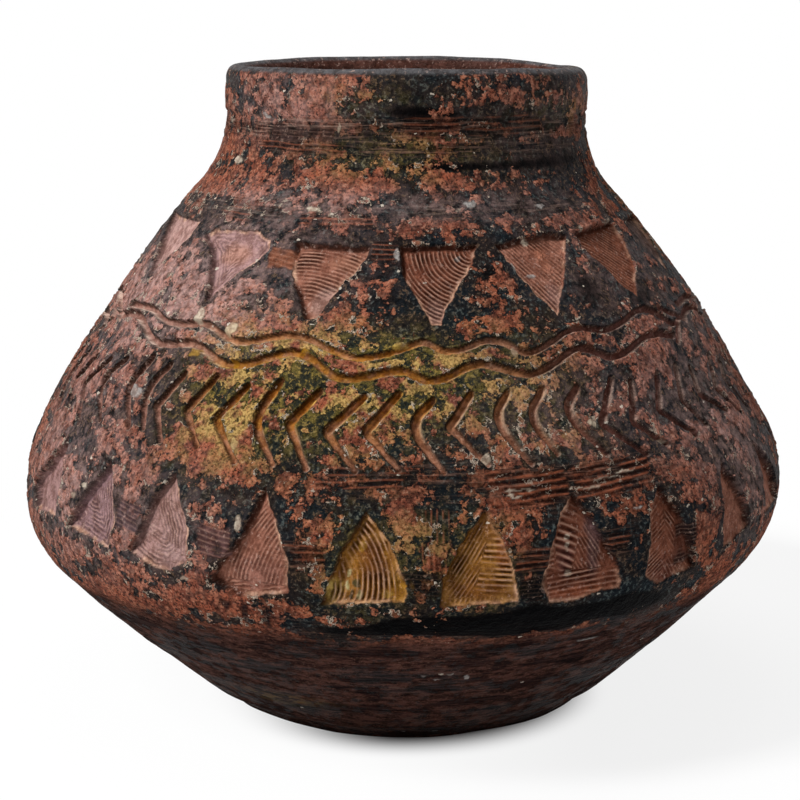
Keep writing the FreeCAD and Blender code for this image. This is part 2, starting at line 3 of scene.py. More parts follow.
import bpy
import numpy as np
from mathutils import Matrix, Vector

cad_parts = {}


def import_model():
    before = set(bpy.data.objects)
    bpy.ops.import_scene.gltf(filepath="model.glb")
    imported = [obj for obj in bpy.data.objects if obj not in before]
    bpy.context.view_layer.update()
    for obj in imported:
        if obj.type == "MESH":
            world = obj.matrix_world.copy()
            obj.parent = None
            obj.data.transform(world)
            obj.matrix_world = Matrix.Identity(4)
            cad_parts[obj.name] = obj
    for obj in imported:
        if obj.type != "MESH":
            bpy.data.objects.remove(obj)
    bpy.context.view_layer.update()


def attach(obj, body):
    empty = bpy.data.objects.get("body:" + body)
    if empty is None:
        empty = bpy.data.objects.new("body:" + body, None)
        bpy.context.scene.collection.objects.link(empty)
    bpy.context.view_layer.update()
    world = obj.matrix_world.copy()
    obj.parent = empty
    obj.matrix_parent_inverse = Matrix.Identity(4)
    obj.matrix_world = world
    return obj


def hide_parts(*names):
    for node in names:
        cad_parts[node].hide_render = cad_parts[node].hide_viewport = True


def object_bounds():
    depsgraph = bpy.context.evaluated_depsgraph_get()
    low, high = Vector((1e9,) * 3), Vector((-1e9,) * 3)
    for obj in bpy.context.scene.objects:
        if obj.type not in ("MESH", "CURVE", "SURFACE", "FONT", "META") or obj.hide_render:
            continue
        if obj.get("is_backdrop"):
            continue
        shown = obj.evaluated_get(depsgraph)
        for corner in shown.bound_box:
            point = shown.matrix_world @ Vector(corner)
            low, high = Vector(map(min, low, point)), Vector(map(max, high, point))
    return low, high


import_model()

# Lengths are in millimetres until the meshes are written, heights are above the ground, and
# azimuths are degrees round +Z from -Y, the front, growing towards +X.
MM = 0.001

# The outline, as in the solids
FOOT_R, BELLY_R, NECK_R = 110.0, 225.0, 105.0
BELLY_Z, NECK_Z, TOP_Z = 134.0, 347.0, 376.0
BOWL_CURVE, BELLY_CURVE, CROWN_CURVE, SHOULDER_CURVE = 940.0, 66.0, 640.0, 62.0
WALL, LIP_R = 12.0, 6.0
FLOOR_Z, RECESS_Z = 17.0, 3.0
SLAB_LOW_R, SLAB_TOP_R, DRAIN_R = 86.0, 94.0, 10.0
FOOT_ROUND = 2.5
JOINTS = [40.0, 103.0, 177.0, 219.0, 247.0, 292.0, 325.0, 356.0]
COURSES = ["foot_course", "bowl_course", "lower_triangle_course", "chevron_course",
           "wave_course", "upper_triangle_course", "shoulder_course", "neck_course",
           "rim_coil"]
ROW_PITCH = [1.4, 1.15, 0.75, 0.75, 0.75, 0.75, 0.95, 0.9, 0.9]
INNER_PITCH = 5.0
COLUMNS, SLAB_COLUMNS, SLAB_STEPS = 1400, 360, 30
FRONT_DENSITY = 0.35
CRUST_COVER = 0.05
# Rows in which the outer relief passes into the inner one, and how far the rim's right sinks
BLEND_ROWS, RIM_SINK = 24, 2.6

# The camera, from the perspective of the rim, the neck and the foot
CAMERA_BACK, CAMERA_Z = 1200.0, 420.0
CAMERA_PITCH = math.radians(11.57)
FOCAL_PX, PHOTO_PX, AXIS_PX = 2022.0, 800.0, 406.3
SENSOR = 36.0

# The studio, in metres: world light, what the lights aim at, the floor and its contact shadow
AMBIENT, WHITE, AIM = 0.22, (1, 1, 1, 1), (0, 0, 0.2)
FLOOR_HALF, SHADOW_CENTRE, SHADOW_FADE = 6.0, (-0.002, -0.018, 0), (0.089, 0.128)


def circle_meet(first, first_r, second, second_r, side):
    """One of the two points where two circles meet."""
    gap = np.subtract(second, first)
    distance = math.hypot(*gap)
    run = (first_r ** 2 - second_r ** 2 + distance ** 2) / (2 * distance)
    offset = side * math.sqrt(first_r ** 2 - run ** 2)
    along = gap / distance
    return np.add(first, along * run + np.array((-along[1], along[0])) * offset)


BELLY_C = np.array((BELLY_R - BELLY_CURVE, BELLY_Z))
SHOULDER_C = np.array((NECK_R + SHOULDER_CURVE, NECK_Z))
BOWL_C = circle_meet((FOOT_R, 0), BOWL_CURVE, BELLY_C, BOWL_CURVE - BELLY_CURVE, 1)
CROWN_C = circle_meet(BELLY_C, CROWN_CURVE - BELLY_CURVE, SHOULDER_C,
                      CROWN_CURVE + SHOULDER_CURVE, 1)


def join_height(center, other, radius):
    """Height of the point at a radius from one centre towards another."""
    way = np.subtract(other, center)
    return center[1] + way[1] / math.hypot(*way) * radius


def wall_radius(z, inset):
    """Radius of the wall's face at a height, moved in by an inset."""
    z = np.asarray(z, float)
    low = join_height(BOWL_C, BELLY_C, BOWL_CURVE - inset)
    middle = join_height(CROWN_C, BELLY_C, CROWN_CURVE - inset)
    high = join_height(CROWN_C, SHOULDER_C, CROWN_CURVE - inset)

    def arc(center, radius, sign):
        return center[0] + sign * np.sqrt(np.maximum(radius ** 2 - (z - center[1]) ** 2, 0))

    return np.select(
        [z < low, z < middle, z < high, z < NECK_Z],
        [arc(BOWL_C, BOWL_CURVE - inset, 1), arc(BELLY_C, BELLY_CURVE - inset, 1),
         arc(CROWN_C, CROWN_CURVE - inset, 1), arc(SHOULDER_C, SHOULDER_CURVE + inset, -1)],
        NECK_R - inset)


def fine_path():
    """The section of the wall as a fine line: under the foot, up, over the lip and down."""
    steps = np.linspace(0, 1, 60)
    turn = steps * math.pi / 2
    rise = np.arange(FOOT_ROUND, TOP_Z - LIP_R, 0.1)
    ease = np.clip((rise - FOOT_ROUND) / 10, 0, 1)
    fall = np.arange(TOP_Z - LIP_R, FLOOR_Z, -0.1)
    heel = wall_radius(FLOOR_Z, WALL)
    runs = [
        (SLAB_LOW_R + (FOOT_R - FOOT_ROUND - SLAB_LOW_R) * steps, steps * 0),
        (FOOT_R - FOOT_ROUND + FOOT_ROUND * np.sin(turn), FOOT_ROUND * (1 - np.cos(turn))),
        (FOOT_R + (wall_radius(rise, 0) - FOOT_R) * ease ** 0.4, rise),
        (NECK_R - LIP_R + LIP_R * np.cos(turn * 2), TOP_Z - LIP_R + LIP_R * np.sin(turn * 2)),
        (wall_radius(fall, WALL), fall),
        (heel + (SLAB_TOP_R - heel) * steps, FLOOR_Z + steps * 0),
    ]
    path = np.concatenate([np.stack(run, 1) for run in runs])
    keep = np.ones(len(path), bool)
    keep[1:] = np.hypot(*np.diff(path, axis=0).T) > 1e-6
    return path[keep]


FINE = fine_path()
FINE_S = np.concatenate([[0], np.cumsum(np.hypot(*np.diff(FINE, axis=0).T))])
TOP_INDEX = int(np.argmax(FINE[:, 1]))


def path_length_at(z, inside):
    """Length along the section at a height, on the outer or the inner face."""
    part, sign = (slice(TOP_INDEX, None), -1) if inside else (slice(0, TOP_INDEX + 1), 1)
    return np.interp(sign * z, sign * FINE[part, 1], FINE_S[part])


def row_marks():
    """Section lengths of all rows, and the first and last row of each course's stretches."""
    outer_cuts = [0.0] + [path_length_at(z, False) for z in JOINTS]
    inner_cuts = [path_length_at(z, True) for z in JOINTS[::-1]] + [FINE_S[-1]]
    rows, spans = [0.0], {name: [] for name in COURSES}
    for names, pitches, cuts in ((COURSES, ROW_PITCH, outer_cuts + inner_cuts[:1]),
                                 (COURSES[-2::-1], [INNER_PITCH] * len(JOINTS), inner_cuts)):
        for name, pitch, start, end in zip(names, pitches, cuts, cuts[1:]):
            count = int(math.ceil((end - start) / pitch))
            first = len(rows) - 1
            rows.extend(start + (end - start) * (np.arange(count) + 1) / count)
            spans[name].append((first, len(rows) - 1))
    return np.array(rows), spans


ROWS, SPANS = row_marks()
ROW_R = np.interp(ROWS, FINE_S, FINE[:, 0])
ROW_Z = np.interp(ROWS, FINE_S, FINE[:, 1])
OUTER_END = SPANS["rim_coil"][0][1]
turns = np.arange(COLUMNS) / COLUMNS * 2 * math.pi
COLUMN_PHI = turns - FRONT_DENSITY * np.sin(turns)
slopes = np.stack([np.gradient(ROW_R, ROWS), np.gradient(ROW_Z, ROWS)], 1)
slopes /= np.linalg.norm(slopes, axis=1)[:, None]
ROW_OUT = np.stack([slopes[:, 1], -slopes[:, 0]], 1)


# Smooth random values, the same on every run

def lattice(cell, seed):
    """A fixed random value from 0 to 1 for each whole-numbered cell."""
    c = cell.astype(np.int64).astype(np.uint32)
    mixed = (c[..., 0] * np.uint32(374761393) + c[..., 1] * np.uint32(668265263)
             + c[..., 2] * np.uint32(2246822519) + np.uint32(seed * 97 + 11))
    mixed = (mixed ^ (mixed >> np.uint32(13))) * np.uint32(1274126177)
    mixed = (mixed ^ (mixed >> np.uint32(15))) * np.uint32(2654435761)
    mixed ^= mixed >> np.uint32(16)
    return mixed / 4294967296.0


def noise(points, pitch, seed):
    """Smooth noise from -1 to 1 with features about one pitch wide."""
    place = points / pitch
    cell = np.floor(place)
    part = place - cell
    part = part * part * (3 - 2 * part)
    total = 0
    for corner in range(8):
        step = np.array((corner & 1, corner >> 1 & 1, corner >> 2))
        weight = np.prod(np.where(step, part, 1 - part), axis=-1)
        total = total + weight * lattice(cell + step, seed)
    return total * 2 - 1


def layered(points, pitch, seed, layers=3):
    """Noise summed over layers, each half as wide and half as strong."""
    total = sum(noise(points, pitch / 2 ** k, seed + k) / 2 ** k for k in range(layers))
    return total / (2 - 2 ** (1 - layers))


def smooth(value, low, high):
    """A smooth step from 0 at low to 1 at high."""
    share = np.clip((value - low) / (high - low), 0, 1)
    return share * share * (3 - 2 * share)


def hump(value, middle, width):
    """1 at the middle, falling off to nothing on both sides."""
    return np.exp(-((value - middle) / width) ** 2)


def turned(azimuth, start):
    """Degrees from one azimuth to another, the short way round."""
    return (azimuth - start + 180) % 360 - 180


def around(radius, phi, z):
    """Points at a radius and azimuths, in radians, and a height."""
    return np.stack(np.broadcast_arrays(radius * np.sin(phi), -radius * np.cos(phi), z), -1)


# The hand-made unevenness of the whole form: (height, shift of the section towards +X)
SWAY = [(0, 0.0), (20, -0.8), (45, -2.6), (70, -4.6), (95, -4.2), (120, -2.7), (140, -1.7),
        (165, -2.2), (190, -2.6), (215, -2.0), (240, -0.9), (262, -1.5), (285, -2.2),
        (305, -2.0), (325, -0.6), (345, 0.0), (376, 0.0)]

phi_grid = np.broadcast_to(COLUMN_PHI, (len(ROWS), COLUMNS))
z_grid = np.broadcast_to(ROW_Z[:, None], phi_grid.shape)
base = around(ROW_R[:, None], phi_grid, z_grid)
base[..., 0] += np.interp(ROW_Z, *np.array(SWAY).T)[:, None]
out_dir = around(ROW_OUT[:, :1], phi_grid, ROW_OUT[:, 1:])

outer = slice(0, OUTER_END + 1)
PLACE = base[outer]
AZ = np.degrees(np.arctan2(PLACE[..., 0], -PLACE[..., 1]))
HEIGHT = z_grid[outer]
SECTION = np.broadcast_to(ROWS[outer][:, None], HEIGHT.shape)
LIP_ROW = int(np.argmax(ROW_Z))


def section_at(z):
    return path_length_at(np.asarray(z, float), False)


class Patch:
    """The part of the outer face round one azimuth, as flat local coordinates."""

    def __init__(self, azimuth, z, reach, low, high):
        self.azimuth, self.z = azimuth, z
        rows = np.nonzero((ROW_Z[1:LIP_ROW] > low) & (ROW_Z[1:LIP_ROW] < high))[0] + 1
        away = turned(AZ[rows], azimuth)
        limit = np.degrees(reach / wall_radius(z, 0)) * 1.1
        columns = np.nonzero((np.abs(away) < limit).any(0))[0]
        self.cells = np.ix_(rows, columns)
        self.u = np.radians(away[:, columns]) * wall_radius(HEIGHT[self.cells], 0)
        self.v = SECTION[self.cells] - section_at(z)
        self.points = PLACE[self.cells]

    def local(self, azimuth, z):
        return (np.radians(turned(azimuth, self.azimuth)) * wall_radius(z, 0),
                section_at(z) - section_at(self.z))

    def across(self, way):
        """Distance across ridges that run at an angle from level."""
        angle = math.radians(way)
        return self.v * math.cos(angle) - self.u * math.sin(angle)

    def warp(self, amount, pitch, seed):
        """Local coordinates, made a little uneven as cut edges are."""
        return (self.u + amount * noise(self.points, pitch, seed),
                self.v + amount * noise(self.points, pitch, seed + 50))


# Everything that is found on the outer face, one value to a vertex
SHAPE = HEIGHT.shape
relief, carve, comb, combing, grit, halo = np.zeros((6,) + SHAPE)
paint = np.zeros(SHAPE + (4,))


def to_linear(rgb):
    """A colour written in sRGB bytes, as the shader reads it."""
    value = np.array(rgb, float) / 255
    return np.where(value < 0.04045, value / 12.92, ((value + 0.055) / 1.055) ** 2.4)


def lay(patch, mask, rgb):
    """Paint a patch with a colour where the mask says."""
    old = paint[patch.cells]
    share = mask[..., None]
    old[..., :3] = old[..., :3] * (1 - share) + to_linear(rgb) * share
    old[..., 3] = np.maximum(old[..., 3], mask)
    paint[patch.cells] = old


def put(field, patch, values, how):
    """Join new values with a field's old ones in a patch."""
    field[patch.cells] = how(field[patch.cells], values)


def put_comb(patch, chosen, phase, amount):
    """Comb marks where chosen, in place of any that were there."""
    for field, values in ((comb, phase), (combing, amount)):
        put(field, patch, values, lambda old, new: np.where(chosen, new, old))


def segment_distance(u, v, start, end):
    """Distance to a straight run, and how far along it the nearest point is."""
    run = (end[0] - start[0], end[1] - start[1])
    length = max(run[0] ** 2 + run[1] ** 2, 1e-9)
    share = np.clip(((u - start[0]) * run[0] + (v - start[1]) * run[1]) / length, 0, 1)
    return np.hypot(u - start[0] - share * run[0], v - start[1] - share * run[1]), share


def inside_of(u, v, corners):
    """True where a point lies inside a closed outline."""
    inside = np.zeros(u.shape, bool)
    for (u0, v0), (u1, v1) in zip(corners, corners[1:] + corners[:1]):
        crosses = (v0 > v) != (v1 > v)
        with np.errstate(divide="ignore", invalid="ignore"):
            at = u0 + (v - v0) / (v1 - v0) * (u1 - u0)
        inside ^= crosses & (u < at)
    return inside


def chaikin(points, times):
    """Rounded corners: each run is cut at a quarter and three quarters."""
    points = [np.array(p, float) for p in points]
    for _ in range(times):
        cut = []
        for a, b in zip(points, points[1:]):
            cut += [a * 0.75 + b * 0.25, a * 0.25 + b * 0.75]
        points = [points[0]] + cut + [points[-1]]
    return [tuple(p) for p in points]


# The hanging triangles: outline clockwise from the top left, the runs beside the last one
# that are deep, the floor's colour, and the combings. A combing has the way that its ridges
# run (degrees from level, along the shallow side, along all sides, or round a point), its
# strength, its zone (where a * u + b * v > c, in mm from the middle) and at times its pitch.
ALL = (0, 0, -99)
COMB_PITCH = 2.35
PINK = (190, 152, 144)
MAUVE = (176, 140, 138)
CLAY = (156, 104, 86)
RUST = (126, 76, 58)
OCHRE = (158, 114, 62)
# Greatest and least depth of a floor, and how far the painted shade of its deep side reaches
UPPER_CUT, LOWER_CUT = (3.8, 1.0, 3.4), (5.4, 0.7, 2.2)
DEEP_SHADE, PAINTED_LIP_HIGHLIGHT = (46, 23, 16), (228, 184, 156)
# Further than any edge
FAR = 1e3
UPPER = [
    ([(-82.4, 290.9), (-58.5, 291), (-58.3, 280.9), (-65.6, 259.4)], (), PINK, [(20, 0.15, ALL)]),
    ([(-53.1, 284.9), (-50.4, 289.3), (-36.2, 290.5), (-31.8, 286.7), (-30.9, 281.6),
     (-32.6, 276.6), (-36.1, 269.4), (-39.3, 260), (-41.2, 252.8), (-44, 266.3), (-46.8, 276.5)],
     (8, 9), MAUVE, [("all", 0.5, ALL)]),
    ([(-25.3, 286.9), (-7.3, 285), (-8.1, 280.5), (-9.7, 274), (-13, 265.5), (-14.3, 259.7),
     (-16.2, 250.5), (-18.6, 249.5), (-20.8, 260.2), (-22.8, 265.1), (-24.9, 279.7)], (0, 7, 8),
     CLAY, [((-10, -32), 1.1, (0, 1, -12))]),
    ([(-1.4, 286.3), (16, 285.7), (14.3, 277.6), (10.4, 265.7), (7.1, 253.2), (6.3, 247.6),
     (4.4, 247.7), (2.3, 258.4), (-0.7, 271.7)], (0,), RUST, [((21, 23), 1.25, ALL)]),
    ([(19.9, 285.1), (26.5, 287.8), (33.7, 289.4), (40.3, 287.3), (37.1, 277.8), (34.5, 268.3),
     (31.4, 259.7), (29.1, 248.8), (26, 258.7), (22.8, 271.5), (20.6, 281.6)], (0, 1, 2), CLAY,
     [(-58, 0.85, ALL)]),
    ([(42.2, 287.7), (49.7, 289.7), (60.5, 290.6), (61.1, 280.1), (56.6, 265.7), (51.4, 253.2),
     (47.9, 261.2), (46.6, 269.7), (44.2, 275.4)], (0, 1), RUST, [(-45, 0.6, ALL)]),
    ([(68, 290), (84, 289), (81, 276), (73.5, 258), (71, 268)], (0,), (92, 74, 70),
     [(-40, 0.15, ALL)]),
]
# Round the back: left, right and point azimuths, then the top and point heights
UPPER_BACK = [
    (89.5, 106, 96.5, 287.5, 251.5), (111, 128, 118, 286.6, 250.6),
    (133, 150, 140.5, 287.5, 252.4), (154.5, 172, 163, 286.2, 249.7),
    (176.5, 194, 185, 287, 251.5), (198.5, 216, 207, 288, 252.8),
    (220.5, 237.5, 229, 286.6, 250.6), (242, 259, 250, 287.5, 253.7),
    (262, 275, 268, 288.8, 256.9),
]

# The standing triangles: outline from the lower left corner up to the point and down to
# the lower right, the index of the point, the deep side, the floor's colour, the combings
LOWER = [
    ([(-68.2, 129.2), (-70, 143.1), (-65.1, 157.3), (-60.6, 175.3), (-57.6, 153.6), (-58.5, 133)],
     3, "left", (164, 128, 124), [(0, 0.1, ALL)]),
    ([(-54.9, 131.3), (-50.3, 154.4), (-46.9, 172), (-45.1, 162.3), (-43.2, 142.7), (-44.5, 126.2),
     (-48.1, 128.6)], 2, "left", (152, 120, 122), [("shallow", 0.6, ALL)]),
    ([(-40.2, 128), (-38.3, 141.7), (-36.4, 160.6), (-33.8, 173.4), (-32, 161.5), (-29.8, 146.6),
     (-29.9, 129.6), (-33.1, 121.7), (-36.1, 122.7)], 3, "left", (170, 134, 128),
     [("shallow", 0.6, ALL)]),
    ([(-22.6, 113.1), (-26.6, 119.7), (-26.4, 123.7), (-21.9, 147.8), (-19.5, 172), (-17.2, 155.6),
     (-15.4, 136.1), (-15.3, 117.2)], 4, "left", CLAY, [((70, -30), 0.7, ALL), ("shallow", 0.6,
     (0, -1, 14))]),
    ([(-11.4, 112.1), (-8.8, 139.9), (-5.2, 162.8), (-2, 147.1), (0.3, 124.3), (-0.1, 115.2),
     (-5.3, 114.2)], 2, "left", OCHRE, [((-42, -8), 1.3, ALL, 2.8)]),
    ([(4.3, 111.9), (4.6, 126.9), (6.9, 145.7), (10.4, 162.1), (12.6, 148.3), (14.3, 129.4),
     (15.1, 113.4), (9.8, 112.6)], 3, "left", OCHRE, [(60, 1, ALL, 2), (-4, 1.3, (1, -0.2, 0),
     3.1), (70, 0.9, (0, -1, 15), 2.2)]),
    ([(19.3, 111.1), (17.9, 122.1), (19, 139.8), (20.8, 157.7), (23.3, 167.1), (25.5, 155),
     (26.9, 145), (29.4, 128.1), (30.3, 113.9), (26.9, 114.2), (23, 109.9)], 4, "right", RUST,
     [(-60, 0.7, ALL, 2.1), (-26, 1.3, (-1, 0.3, 4), 3.8), (2, 1.2, (0, -1, 6), 2.9)]),
    ([(37.1, 110.7), (34.3, 117.5), (34.4, 132.4), (34.8, 151.8), (37.6, 164.3), (41.1, 146.6),
     (43.3, 129.2), (44.5, 115.6), (42.3, 114.5)], 4, "right", RUST, [(-55, 0.7, ALL), (30, 0.7,
     (-1, 0, 3))]),
    ([(51.3, 120.2), (50.2, 131.1), (50.7, 156.9), (52.8, 167.8), (54.9, 156), (57.4, 140.1),
     (58.6, 128.4)], 3, "right", CLAY, [(70, 0.35, ALL)]),
    ([(66, 128), (64.4, 144.7), (65.8, 168.8), (72, 149.7), (74, 130)], 2, "right", CLAY,
     [(20, 0.35, ALL)]),
]
# Round the back: left, right and point azimuths, then the base and point heights
LOWER_BACK = [
    (77.8, 87.4, 80.5, 119.3, 169.6), (92.8, 103.5, 98, 116.3, 168.1),
    (107.5, 118.8, 112.2, 119.3, 169.6), (122.6, 133.4, 128.5, 115.6, 166.6),
    (138, 148.9, 142.6, 114.1, 165.2), (153, 164, 158.6, 117.1, 168.1),
    (168, 177.8, 172.4, 117.8, 169.6), (182.6, 193.4, 187.8, 114.8, 167.4),
    (198, 208.6, 202.5, 116.3, 165.9), (212.8, 224, 218.8, 117.8, 169.6),
    (228, 238.8, 232.6, 115.6, 167.4), (243, 253.6, 248.4, 117.1, 168.9),
    (257.4, 267.4, 262, 118.5, 170.3), (272.8, 283, 277.4, 121.5, 171.1),
]


def recess(outline, deep_runs, floor_rgb, combs, seed, cut_to, gloom):
    """Cut a recess whose floor is deep along some sides and shallow along the others."""
    deepest, shallowest, band = cut_to
    azimuths, heights = np.array(outline, float).T
    patch = Patch(float(azimuths.mean()), float(np.mean(heights)), 48, min(heights) - 8,
                  max(heights) + 8)
    corners = [patch.local(a, z) for a, z in outline]
    u, v = patch.warp(0.7, 4.0, seed)
    u2, v2 = patch.warp(0.45, 1.6, seed + 3)
    u, v = u + u2 - patch.u, v + v2 - patch.v
    deep, shallow = np.full((2,) + u.shape, FAR)
    for index, (a, b) in enumerate(zip(corners, corners[1:] + corners[:1])):
        nearest = deep if index in deep_runs else shallow
        np.minimum(nearest, segment_distance(u, v, a, b)[0], out=nearest)
    edge = np.minimum(deep, shallow)
    signed = np.where(inside_of(u, v, corners), edge, -edge)
    lean = shallow / (deep + shallow + 1e-6)
    depth = shallowest + (deepest - shallowest) * lean ** 0.8
    cut = smooth(signed, -0.2, 1.3) * depth
    burr = 0.5 * hump(signed, -1.1, 0.9)
    put(relief, patch, -cut + burr * (0.6 + 0.6 * noise(patch.points, 3.0, seed + 9)), np.add)
    put(carve, patch, np.clip(cut / deepest, 0, 1), np.maximum)
    mask = smooth(signed, -0.1, 0.7)
    put(carve, patch, mask * 0.25, np.maximum)
    lay(patch, mask, floor_rgb)
    # painted shade along the deep sides, and a painted highlight along the shallow lip that
    # weakens towards the right
    lay(patch, mask * smooth(deep, band, 0.3 * band) * gloom, DEEP_SHADE)
    uneven = smooth(noise(patch.points, 5.0, seed + 5), -0.6, 0.2)
    lip = mask * hump(shallow, 0.8, 1.15) * smooth(deep, 2.0, 4.5)
    lit = 0.9 - 0.5 * smooth(patch.points[..., 0], 50, 120)
    lay(patch, lip * uneven * lit, PAINTED_LIP_HIGHLIGHT)
    put(grit, patch, hump(signed, -0.5, 2.2), np.maximum)
    put(halo, patch, smooth(signed, -9.0, -1.5), np.maximum)
    bend = 1.6 * noise(patch.points, 22.0, seed + 20) + 0.6 * noise(patch.points, 7.0, seed)
    for way, strength, (right, up, least), *pitch in combs:
        if way == "shallow":
            phase = shallow
        elif way == "all":
            phase = edge
        elif isinstance(way, tuple):
            phase = np.hypot(patch.u - way[0], patch.v - way[1])
        else:
            phase = patch.across(way)
        zone = smooth(right * patch.u + up * patch.v - least + bend, -1.0, 1.0)
        chosen = (zone > 0.5) & (mask > 0.01)
        amount = mask * strength * smooth(signed, 0.6, 2.2) * (2 * zone - 1)
        amount = amount * smooth(deep, 2.0, 4.2)
        amount = amount * np.clip(0.62 + 0.8 * noise(patch.points, 7.0, seed + 21), 0.1, 1.1)
        phase = (phase + 0.6 * bend) * COMB_PITCH / (pitch[0] if pitch else COMB_PITCH)
        put_comb(patch, chosen, phase, amount)


def back_triangle(left, right, point, side_z, point_z, number):
    """An outline from three corners, with sides as uneven as those of the front."""
    middle = (left + right) / 2
    lift = 1 if point_z > side_z else -1
    half_z = (side_z + point_z) / 2
    bulge = 0.5 + 0.4 * math.sin(number * 2.1)
    return [(left, side_z), (left + (point - left) * 0.36 - bulge * 0.6, half_z - lift * 6),
            (left + (point - left) * 0.72 - bulge * 0.5, half_z + lift * 9),
            (point, point_z),
            (right + (point - right) * 0.62 + bulge * 0.6, half_z + lift * 7),
            (right + (point - right) * 0.25 + bulge * 0.7, half_z - lift * 8),
            (right, side_z + 0.8), (middle, side_z - 0.8 * lift * math.cos(number * 1.7))]


# The last argument of each recess is the strength of its deep sides' painted shade
for number, (outline, tops, rgb, combs) in enumerate(UPPER):
    recess(outline, {*tops, len(outline) - 1}, rgb, combs, 100 + number, UPPER_CUT,
           {0: 0.35, 1: 0.65}.get(number, 0.85))
for number, (left, right, point, high, low) in enumerate(UPPER_BACK):
    outline = back_triangle(left, right, point, high, low, number)
    recess(outline, {6, 7, 0}, (RUST, CLAY, PINK)[number % 3],
           [(-40 + 37 * (number % 4), 0.7, ALL)], 140 + number, UPPER_CUT, 0.85)
for number, (outline, peak, side, rgb, combs) in enumerate(LOWER):
    deep_runs = range(peak) if side == "left" else range(peak, len(outline) - 1)[:3]
    recess(outline, deep_runs, rgb, combs, 200 + number, LOWER_CUT,
           {0: 0.35, 1: 0.35, 2: 0.6}.get(number, 0.9))
for number, (left, right, point, low, high) in enumerate(LOWER_BACK):
    outline = back_triangle(left, right, point, low, high, number + 5)
    recess(outline, {0, 1, 2}, (RUST, CLAY, PINK, CLAY)[number % 4],
           [(84 - 41 * (number % 3), 0.7, ALL)], 240 + number, LOWER_CUT, 0.9)


# Grooves: a round-nosed tool drawn along a line, with clay pushed up beside it

WAVE_CLAY, CHEVRON_CLAY = (196, 148, 124), (186, 134, 108)
# Painted shade for the grooves on the right, away from the key light, and painted sheen for those
# on the far left
RIGHT_PAINTED_SHADE, LEFT_PAINTED_SHEEN = (108, 67, 64), (170, 128, 120)
# Painted shade on the grooves' upper left walls and a painted highlight on their lower right edges
WALL_SHADE, PAINTED_EDGE_HIGHLIGHT = (40, 24, 16), (242, 212, 194)


def press(old, new):
    """Grooves that meet keep the deeper floor, and a burr stays out of other cuts."""
    return np.where(new < -0.3, np.minimum(old, new), old + np.maximum(new, 0) * (old > -0.3))


def groove(points, widths, depth, rgb, seed):
    """Cut a groove along (azimuth, height) points, with a half-width at each point."""
    azimuths, heights = zip(*points)
    reach = max(20, (max(azimuths) - min(azimuths)) * 2.2 + 12)
    patch = Patch((max(azimuths) + min(azimuths)) / 2, float(np.mean(heights)), reach,
                  min(heights) - 9, max(heights) + 9)
    line = [patch.local(a, z) for a, z in points]
    u, v = patch.warp(0.35, 3.0, seed)
    best = np.full(u.shape, FAR)
    side = np.zeros(u.shape)
    for (a, b), (w0, w1) in zip(zip(line, line[1:]), zip(widths, widths[1:])):
        near = np.abs(u - (a[0] + b[0]) / 2) < abs(a[0] - b[0]) / 2 + 9
        if not near.any():
            continue
        distance, share = segment_distance(u[near], v[near], a, b)
        ratio = distance / (w0 + (w1 - w0) * share)
        closer = ratio < best[near]
        lean = ((u[near] - a[0] - (b[0] - a[0]) * share)
                - (v[near] - a[1] - (b[1] - a[1]) * share))
        best[near] = np.where(closer, ratio, best[near])
        side[near] = np.where(closer, lean, side[near])
    within = smooth(best, 1.12, 0.9)
    profile = np.sqrt(np.clip(1 - (best * 0.92) ** 2, 0, 1)) * within
    burr = 0.45 * hump(best, 1.5, 0.35)
    put(relief, patch, -depth * profile + burr * (0.7 + 0.6 * noise(patch.points, 4, seed)),
        press)
    put(carve, patch, profile, np.maximum)
    x = patch.points[..., 0]
    lay(patch, within * 0.95, rgb)
    # painted shade towards the right and painted sheen towards the far left
    lay(patch, within * smooth(x, 15, 105) * 0.85, RIGHT_PAINTED_SHADE)
    lay(patch, within * smooth(x, -70, -140) * 0.6, LEFT_PAINTED_SHEEN)
    uneven = smooth(noise(patch.points, 5.0, seed + 4), -0.9, -0.1)
    wall = smooth(best, 0.55, 0.85) * smooth(best, 1.3, 1.1)
    leftness, rightness = smooth(x, 20, -60), smooth(x, 30, 120)
    edge = hump(best, 1.05, 0.26 + 0.12 * leftness) * smooth(side, 0.1, 1.0)
    # painted shade on the upper left walls and a painted highlight on the lower right edges,
    # weaker towards the right
    lay(patch, wall * smooth(side, -0.2, -1.2) * (0.9 - 0.3 * rightness), WALL_SHADE)
    lay(patch, edge * uneven * (0.8 + 0.2 * leftness - 0.35 * rightness), PAINTED_EDGE_HIGHLIGHT)
    put(grit, patch, 0.8 * hump(best, 1.4, 0.6), np.maximum)
    put(halo, patch, 0.55 * smooth(best, 3.2, 1.4), np.maximum)


